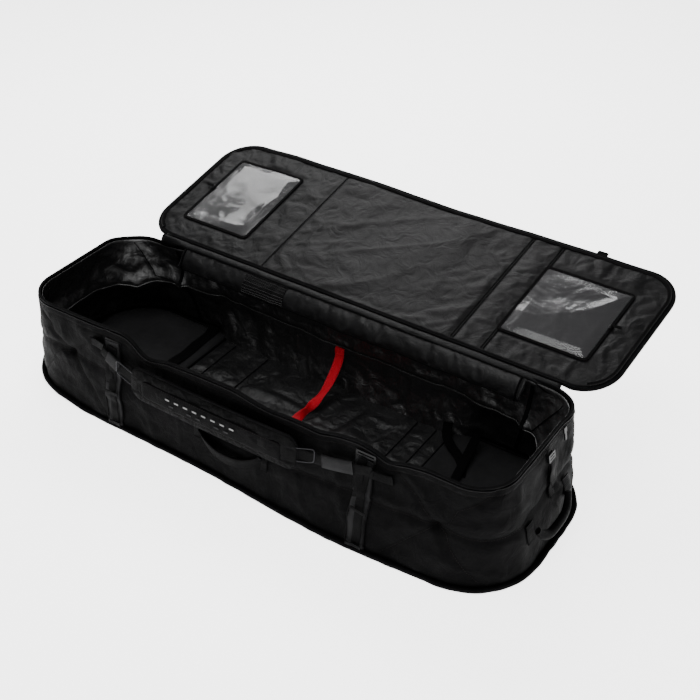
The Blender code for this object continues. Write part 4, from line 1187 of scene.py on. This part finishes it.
def front_straps():
    for name, side in (("left", -1), ("right", 1)):
        x = side * STRAP_X
        z = np.linspace(0.010, 0.262, 44)
        wave = 0.0025 * np.sin(z * 44 + side)
        line = on_skin(front(x + wave, z, 0), FRONT_OUT, 0.0030)
        panel = band("front_strap_panel_" + name, line, (1, 0, 0), 0.052, 0.0022, MAT)
        fold(panel)
        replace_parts(panel, "front_strap_" + name)
        for k, shift in enumerate((-0.0235, 0.0235)):
            seam = on_skin(front(x + wave + shift, z, 0), FRONT_OUT, 0.0046)
            fold(stitches("front_strap_thread_%s_%d" % (name, k), seam, FRONT_OUT, THREAD))
            edge = on_skin(front(x + wave + shift * 1.10, z, 0), FRONT_OUT, 0.0036)
            fold(tube("front_strap_edge_%s_%d" % (name, k), edge, 0.0020, TAPE, sides=8))
        z = np.linspace(0.012, 0.250, 40)
        loose = 0.0055 + 0.004 * np.abs(np.sin(z * 36 + 1 + side))
        line = on_skin(front(x + 0.004 + 0.002 * np.sin(z * 30), z, 0), FRONT_OUT, 0)
        line = line + FRONT_OUT * loose[:, None]
        fold(band("front_webbing_" + name, line, (1, 0, 0), 0.025, 0.0018, WEBBING))
        # the tail that hangs from the buckle
        tail = curve_through([front(x - 0.004, 0.258, 0.012), front(x - 0.006, 0.236, 0.017),
                              front(x - 0.010, 0.205, 0.014), front(x - 0.008, 0.170, 0.017),
                              front(x - 0.012, 0.140, 0.013)], 0.006)
        fold(band("front_tail_" + name, tail, (1, 0.15, 0), 0.024, 0.0017, WEBBING))
        for low in (0.118, 0.020):
            line = on_skin(front(x + np.linspace(-0.019, 0.025, 12), low, 0), FRONT_OUT, 0.0125)
            fold(band("front_keeper_%s_%d" % (name, 1000 * low), line, (0, 0, 1), 0.011, 0.0022, WEBBING))


def carry_handle():
    low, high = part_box("carry_pad")
    x0, x1, z0, z1 = low[0], high[0], low[2], high[2]
    n, m = 130, 36
    u, v = np.meshgrid(np.linspace(-1, 1, n), np.linspace(-1, 1, m), indexing="ij")
    half_x, half_z, r = (x1 - x0) / 2, (z1 - z0) / 2, 0.036
    x = u * half_x
    limit = round_limit(np.clip(np.abs(x) - (half_x - r), 0, None), half_z, r)
    z = v * limit
    rim = np.minimum(half_x - np.abs(x), limit - np.abs(z))
    swell = np.clip(rim / 0.026, 0, 1)
    swell = np.sqrt(1 - (1 - swell) ** 2)
    flat = np.stack([x, 0 * x, z], -1)
    crumple = 0.0022 * ridges(flat, 9, 120) + 0.0014 * field(flat, 13, 121)
    bow = 0.004 * (1 - (x / half_x) ** 2)
    cx, cz = (x0 + x1) / 2, (z0 + z1) / 2
    outer = front(cx + x, cz + z - bow, 0.0245 + swell * (0.0090 + crumple))
    inner = front(cx + x, cz + z - bow, 0.0225 - swell * (0.0045 + crumple * 0.5))
    count = n * m
    faces = grid_faces(n, m) + grid_faces(n, m, count, True)
    edge = grid_edge(n, m)
    for k in range(len(edge)):
        a, b = edge[k], edge[(k + 1) % len(edge)]
        faces.append((b, a, a + count, b + count))
    points = np.vstack([outer.reshape(-1, 3), inner.reshape(-1, 3)])
    pad = add_piece("carry_cushion", points, faces, PAD_CLOTH)
    sewn = edge + [k + count for k in edge]
    cover_edge = np.abs(np.abs(z) - 0.026) < 0.0016
    sewn += [int(k) for k in np.arange(count).reshape(n, m)[cover_edge & (np.abs(x) < half_x - 0.02)]]
    make_cloth(pad, sewn, grow=0.03, bending=0.6, pressure=2.0, cap=0.006)
    piping = resample((outer.reshape(-1, 3)[edge] + inner.reshape(-1, 3)[edge]) / 2, 0.006, True)
    cord = tube("carry_piping", piping, 0.0034, TAPE, up=(0, 1, 0), closed=True)
    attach(cord, "carry_handle")
    # the narrower cover over the pad
    u, v = np.meshgrid(np.linspace(-1, 1, 110), np.linspace(-1, 1, 22), indexing="ij")
    bow = 0.004 * (1 - (u * 0.228 / half_x) ** 2)
    swell = np.sqrt(np.clip(1 - np.abs(v) ** 3, 0, 1)) * np.clip((1 - np.abs(u)) * 20, 0, 1) ** 0.5
    flat = np.stack([u * 0.228, 0 * u, v * 0.026], -1)
    lift = 0.0340 + 0.0040 * swell + 0.0012 * ridges(flat, 16, 125) + 0.001 * field(flat, 13, 126)
    round_end = round_limit(np.clip(np.abs(u) * 0.228 - 0.210, 0, None), 0.026, 0.018)
    tall = cz + v * np.maximum(round_end, 0.0085) - bow
    cover = thicken(add_grid("carry_cover", front(cx + u * 0.228, tall, lift), SHELL), 0.0035)
    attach(cover, "carry_handle")
    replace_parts(cover, "carry_pad_cover")
    for k, side in enumerate((-1, 1)):
        s = np.linspace(-0.225, 0.225, 120)
        line = front(cx + s, cz + side * 0.0235 - 0.004 * (1 - (s / half_x) ** 2), 0.0384)
        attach(stitches("carry_cover_thread_%d" % k, line, FRONT_OUT, THREAD), "carry_handle")
    # generic printed dashes
    dashes = []
    for k, s in enumerate(np.linspace(-0.135, 0.075, 8)):
        for row, shift in ((0.006, 0), (-0.010, 0.012)):
            if row < 0 and k % 3 == 1:
                continue
            length = 0.014 if row > 0 else 0.016
            at = np.linspace(-length / 2, length / 2, 4)
            line = front(cx + s + shift + at, cz + row - 0.003, 0.0398)
            dashes.append(band("dash", line, (0.5, 0, 1), 0.0052, 0.0006, PRINT if row > 0 else WRAP))
    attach(joined("carry_dashes", *dashes), "carry_handle")
    return pad


def settle_handle(pad):
    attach(pad, "carry_handle")
    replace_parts(pad, "carry_pad")
    low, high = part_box("carry_pad")
    middle = (low[2] + high[2]) / 2
    for name, side, inner_x in (("left", -1, low[0]), ("right", 1, high[0])):
        outer_x = side * (STRAP_X + 0.0295)
        line = curve_through([front(inner_x - side * 0.030, middle + 0.002, 0.0245),
                              front(inner_x, middle + 0.010, 0.0245),
                              front(inner_x * 0.62 + outer_x * 0.38, middle + 0.020, 0.0245),
                              front(inner_x * 0.3 + outer_x * 0.7, middle + 0.034, 0.0235),
                              front(outer_x, 0.2415, 0.0205)], 0.006)
        width = np.linspace(0.032, 0.026, len(line))
        strap = band("carry_webbing_" + name, line, (0, 0.12, 1), width, 0.0026, WEBBING)
        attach(strap, "carry_handle")
        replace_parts(strap, "carry_strap_" + name)
        a, b = (0.42, 0.80) if side > 0 else (0.50, 0.86)
        part = line[int(a * len(line)):int(b * len(line))]
        wrap = band("carry_wrap_" + name, part + FRONT_OUT * 0.0001, (0, 0.12, 1), 0.036, 0.0066, WRAP)
        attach(wrap, "carry_handle")
        ring = []
        for turn in np.linspace(0, 2 * math.pi, 60, endpoint=False):
            c, t = math.cos(turn), math.sin(turn)
            along = side * (0.020 + 0.030 * np.sign(c) * abs(c) ** 0.35)
            rise = 0.008 + 0.35 * abs(along) * (side * along > 0) + 0.0195 * np.sign(t) * abs(t) ** 0.35
            ring.append(front(inner_x + along, middle + rise, 0.0285))
        wire = tube("carry_wire_" + name, np.array(ring), 0.0012, METAL, up=(0, 1, 0), closed=True)
        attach(wire, "carry_handle")
        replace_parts(wire, "carry_ring_" + name)
        line = np.array([on_skin(front(side * (STRAP_X + 0.023 + 0.014 * k), 0.2415, 0), FRONT_OUT,
                                 0.004 + 0.011 * (1 - smooth(0, 3, k))) for k in range(5)])
        anchor = band("carry_tab_" + name, curve_through(line, 0.005), (0, 0, 1), 0.026, 0.0030, WEBBING)
        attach(anchor, "rim")
        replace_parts(anchor, "carry_anchor_" + name)


def grab_handles():
    s = np.linspace(-1, 1, 50)
    drop = 0.036 * (1 - np.abs(s) ** 2.6)
    line = front(0.104 * s, 0.120 - drop, 0.0085 + 0.0165 * (1 - s ** 2))
    across = np.stack([0.25 * s, 0 * s - 0.2, 1 + 0 * s], 1)
    loop = band("grab_loop", line, across, 0.040 - 0.006 * np.abs(s), 0.0060, SHELL)
    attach(loop, "front_grab")
    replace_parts(loop, "grab_handle")
    for k, shift in enumerate((-0.0160, 0.0160)):
        along = directions(line)
        side = square_to(across, along)
        seam = line + side * shift + FRONT_OUT * 0.0030
        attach(stitches("grab_thread_%d" % k, seam, FRONT_OUT, THREAD), "front_grab")
    for k, x in enumerate((-0.112, 0.112)):
        z = np.linspace(0.094, 0.150, 14)
        line = on_skin(front(x, z, 0), FRONT_OUT, 0.0030)
        fold(band("grab_patch_%d" % k, line, (1, 0, 0), 0.020, 0.0022, WEBBING))
    for name, side in (("left", -1), ("right", 1)):
        s = np.linspace(-1, 1, 48)
        y = s * 0.082
        sag = 0.040 * (1 - np.abs(s) ** 4)
        line = end(y, 0.1120 - sag * 0.9, 0.0165 + 0.010 * (1 - np.abs(s) ** 3), side)
        radius = 0.0095 + 0.0030 * (1 - np.abs(s) ** 6)
        radius = radius + 0.0006 * np.abs(np.sin(np.arange(48) * 1.7))
        grip = tube("end_grip_" + name, line, radius, SHELL, up=(side, 0, 0.3), sides=14, flatten=0.75)
        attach(grip, "end_grab_" + name)
        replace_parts(grip, "end_handle_" + name)
        for place, y0 in (("front", -0.098), ("back", 0.098)):
            z = np.linspace(0.086, 0.138, 12)
            line = on_skin(end(y0, z, 0, side), (side, 0, 0.17), 0.0028)
            patch = band("end_patch_%s_%s" % (name, place), line, (0, 1, 0), 0.034, 0.0030, WEBBING)
            fold(patch)
            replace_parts(patch, "end_anchor_%s_%s" % (name, place))
    y = 0.022
    z = np.linspace(0.134, 0.262, 26)
    line = on_skin(end(y + 0.002 * np.sin(z * 40), z, 0), (1, 0, 0.17), 0.0036)
    strap = fold(band("end_webbing", line, (0, 1, 0), 0.025, 0.0020, WEBBING))
    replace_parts(strap, "end_strap_right")
    tail = curve_through([end(y, 0.250, 0.0105), end(y + 0.003, 0.226, 0.0125), end(y - 0.003, 0.196, 0.0085),
                          end(y + 0.004, 0.168, 0.0100)], 0.006)
    fold(band("end_tail", tail, (0, 1, 0), 0.024, 0.0017, WEBBING))


# ------------------------------------------------------------- straps inside

def inside_straps():
    tie_x = -0.44
    y = np.linspace(-0.015, 0.222, 40)
    z = MAT_TOP + 0.0032 + 0.0018 * np.sin(y * 60) + 0.010 * smooth(0.19, 0.222, y)
    line = np.stack([tie_x + 0.003 * np.sin(y * 18), y, z + 0.001], 1)
    strap = band("tie_webbing", line, (1, 0, 0), 0.036, 0.0020, WEBBING)
    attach(strap, "tub")
    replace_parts(strap, "tie_down_strap")
    low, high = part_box("tie_down_plug_strap")
    y = np.linspace(high[1], low[1], 16)
    z = (low[2] + 0.0012) + 0.0085 * smooth(high[1] - 0.02, high[1], y)
    strap = band("tie_plug_webbing", np.stack([0 * y + tie_x, y, z], 1), (1, 0, 0), 0.036, 0.0020, WEBBING)
    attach(strap, "tie_plug")
    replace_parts(strap, "tie_down_plug_strap")
    # slack tie-downs at the right
    routes = (((0.478, 0.196, 0.075), (0.479, 0.186, 0.062), (0.480, 0.165, 0.052), (0.484, 0.130, 0.043),
               (0.490, 0.085, 0.034), (0.495, 0.045, 0.0275), (0.498, 0.010, 0.0255)),
              ((0.386, 0.198, 0.062), (0.390, 0.186, 0.050), (0.402, 0.166, 0.039), (0.428, 0.146, 0.032),
               (0.458, 0.128, 0.0285), (0.486, 0.100, 0.0265), (0.500, 0.064, 0.0258)))
    loops = []
    for k, route in enumerate(routes):
        line = curve_through(route, 0.006)
        twist = np.linspace(0.2, 0.9 if k else -0.7, len(line))
        across = np.stack([np.cos(twist), np.sin(twist), 0 * twist], 1)
        loops.append(band("loop_part", line, across, 0.026, 0.0020, WEBBING))
    straps = fold(joined("slack_webbing", *loops))
    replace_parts(straps, "tie_down_loop")
    # the red strap, folded over at its top and twisted near its lower end
    route = [(0.028, 0.207, 0.149), (0.031, 0.197, 0.130), (0.032, 0.180, 0.108), (0.031, 0.160, 0.086),
             (0.029, 0.136, 0.064), (0.026, 0.108, 0.048), (0.022, 0.075, 0.038), (0.018, 0.035, 0.0325),
             (0.016, -0.005, 0.032), (0.018, -0.060, 0.036), (0.022, -0.120, 0.054), (0.028, -0.165, 0.088),
             (0.033, -0.194, 0.120), (0.035, -0.207, 0.148)]
    line = curve_through(route, 0.006)
    share = np.linspace(0, 1, len(line))
    twist = 0.12 + 1.15 * hump(share, 0.40, 0.060) - 0.45 * hump(share, 0.26, 0.06)
    across = np.stack([np.cos(twist), np.sin(twist) * 0.25, -np.sin(twist)], 1)
    width = 0.0275 - 0.003 * hump(share, 0.40, 0.05)
    strap = fold(band("red_webbing", line, across, width, 0.0020, RED))
    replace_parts(strap, "red_strap")
    tab = curve_through([(0.0275, 0.2085, 0.158), (0.0275, 0.2040, 0.149), (0.0300, 0.2010, 0.138)], 0.004)
    fold(band("red_tab", tab, (1, 0, 0), 0.030, 0.0042, RED))
    for k, shift in enumerate((-0.0095, 0.0095)):
        along = directions(line)
        side = square_to(across, along)
        over = np.cross(along, side)
        over *= np.sign(over[:, 2:3] + 1e-6)
        seam = line + side * shift + over * 0.0012
        fold(stitches("red_thread_%d" % k, seam, over, RED_THREAD, radius=0.0005))


# -------------------------------------------------------- frame parts kept

KEPT = {"front_buckle_left": PLASTIC, "front_buckle_right": PLASTIC, "tie_down_socket": PLASTIC,
        "tie_down_plug": PLASTIC, "zip_slider_left": PLASTIC, "zip_slider_right": PLASTIC,
        "lid_pull_tab": WEBBING, "end_adjuster": PLASTIC, "base_board": MAT}


def finish_frame_parts():
    for name, look in KEPT.items():
        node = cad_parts[name]
        for place in node.material_slots:
            place.material = look


# --------------------------------------------------------------------- build

add_camera()
add_studio()
add_ground()
tub_skin()
rim_edge()
base_edge()
lining, lining_flat = tub_lining()
floor_sheet = floor_lining()
lid_sheet = lid_lining()
roll, roll_low = hinge_roll()
pad = carry_handle()
run_cloths()
settle_lining(lining, lining_flat, floor_sheet)
settle_lid(lid_sheet)
settle_hinge(roll, roll_low)
settle_handle(pad)
inside_seams()
floor_mats()
lid_shell()
windows()
window_pulls()
front_straps()
grab_handles()
inside_straps()
finish_frame_parts()
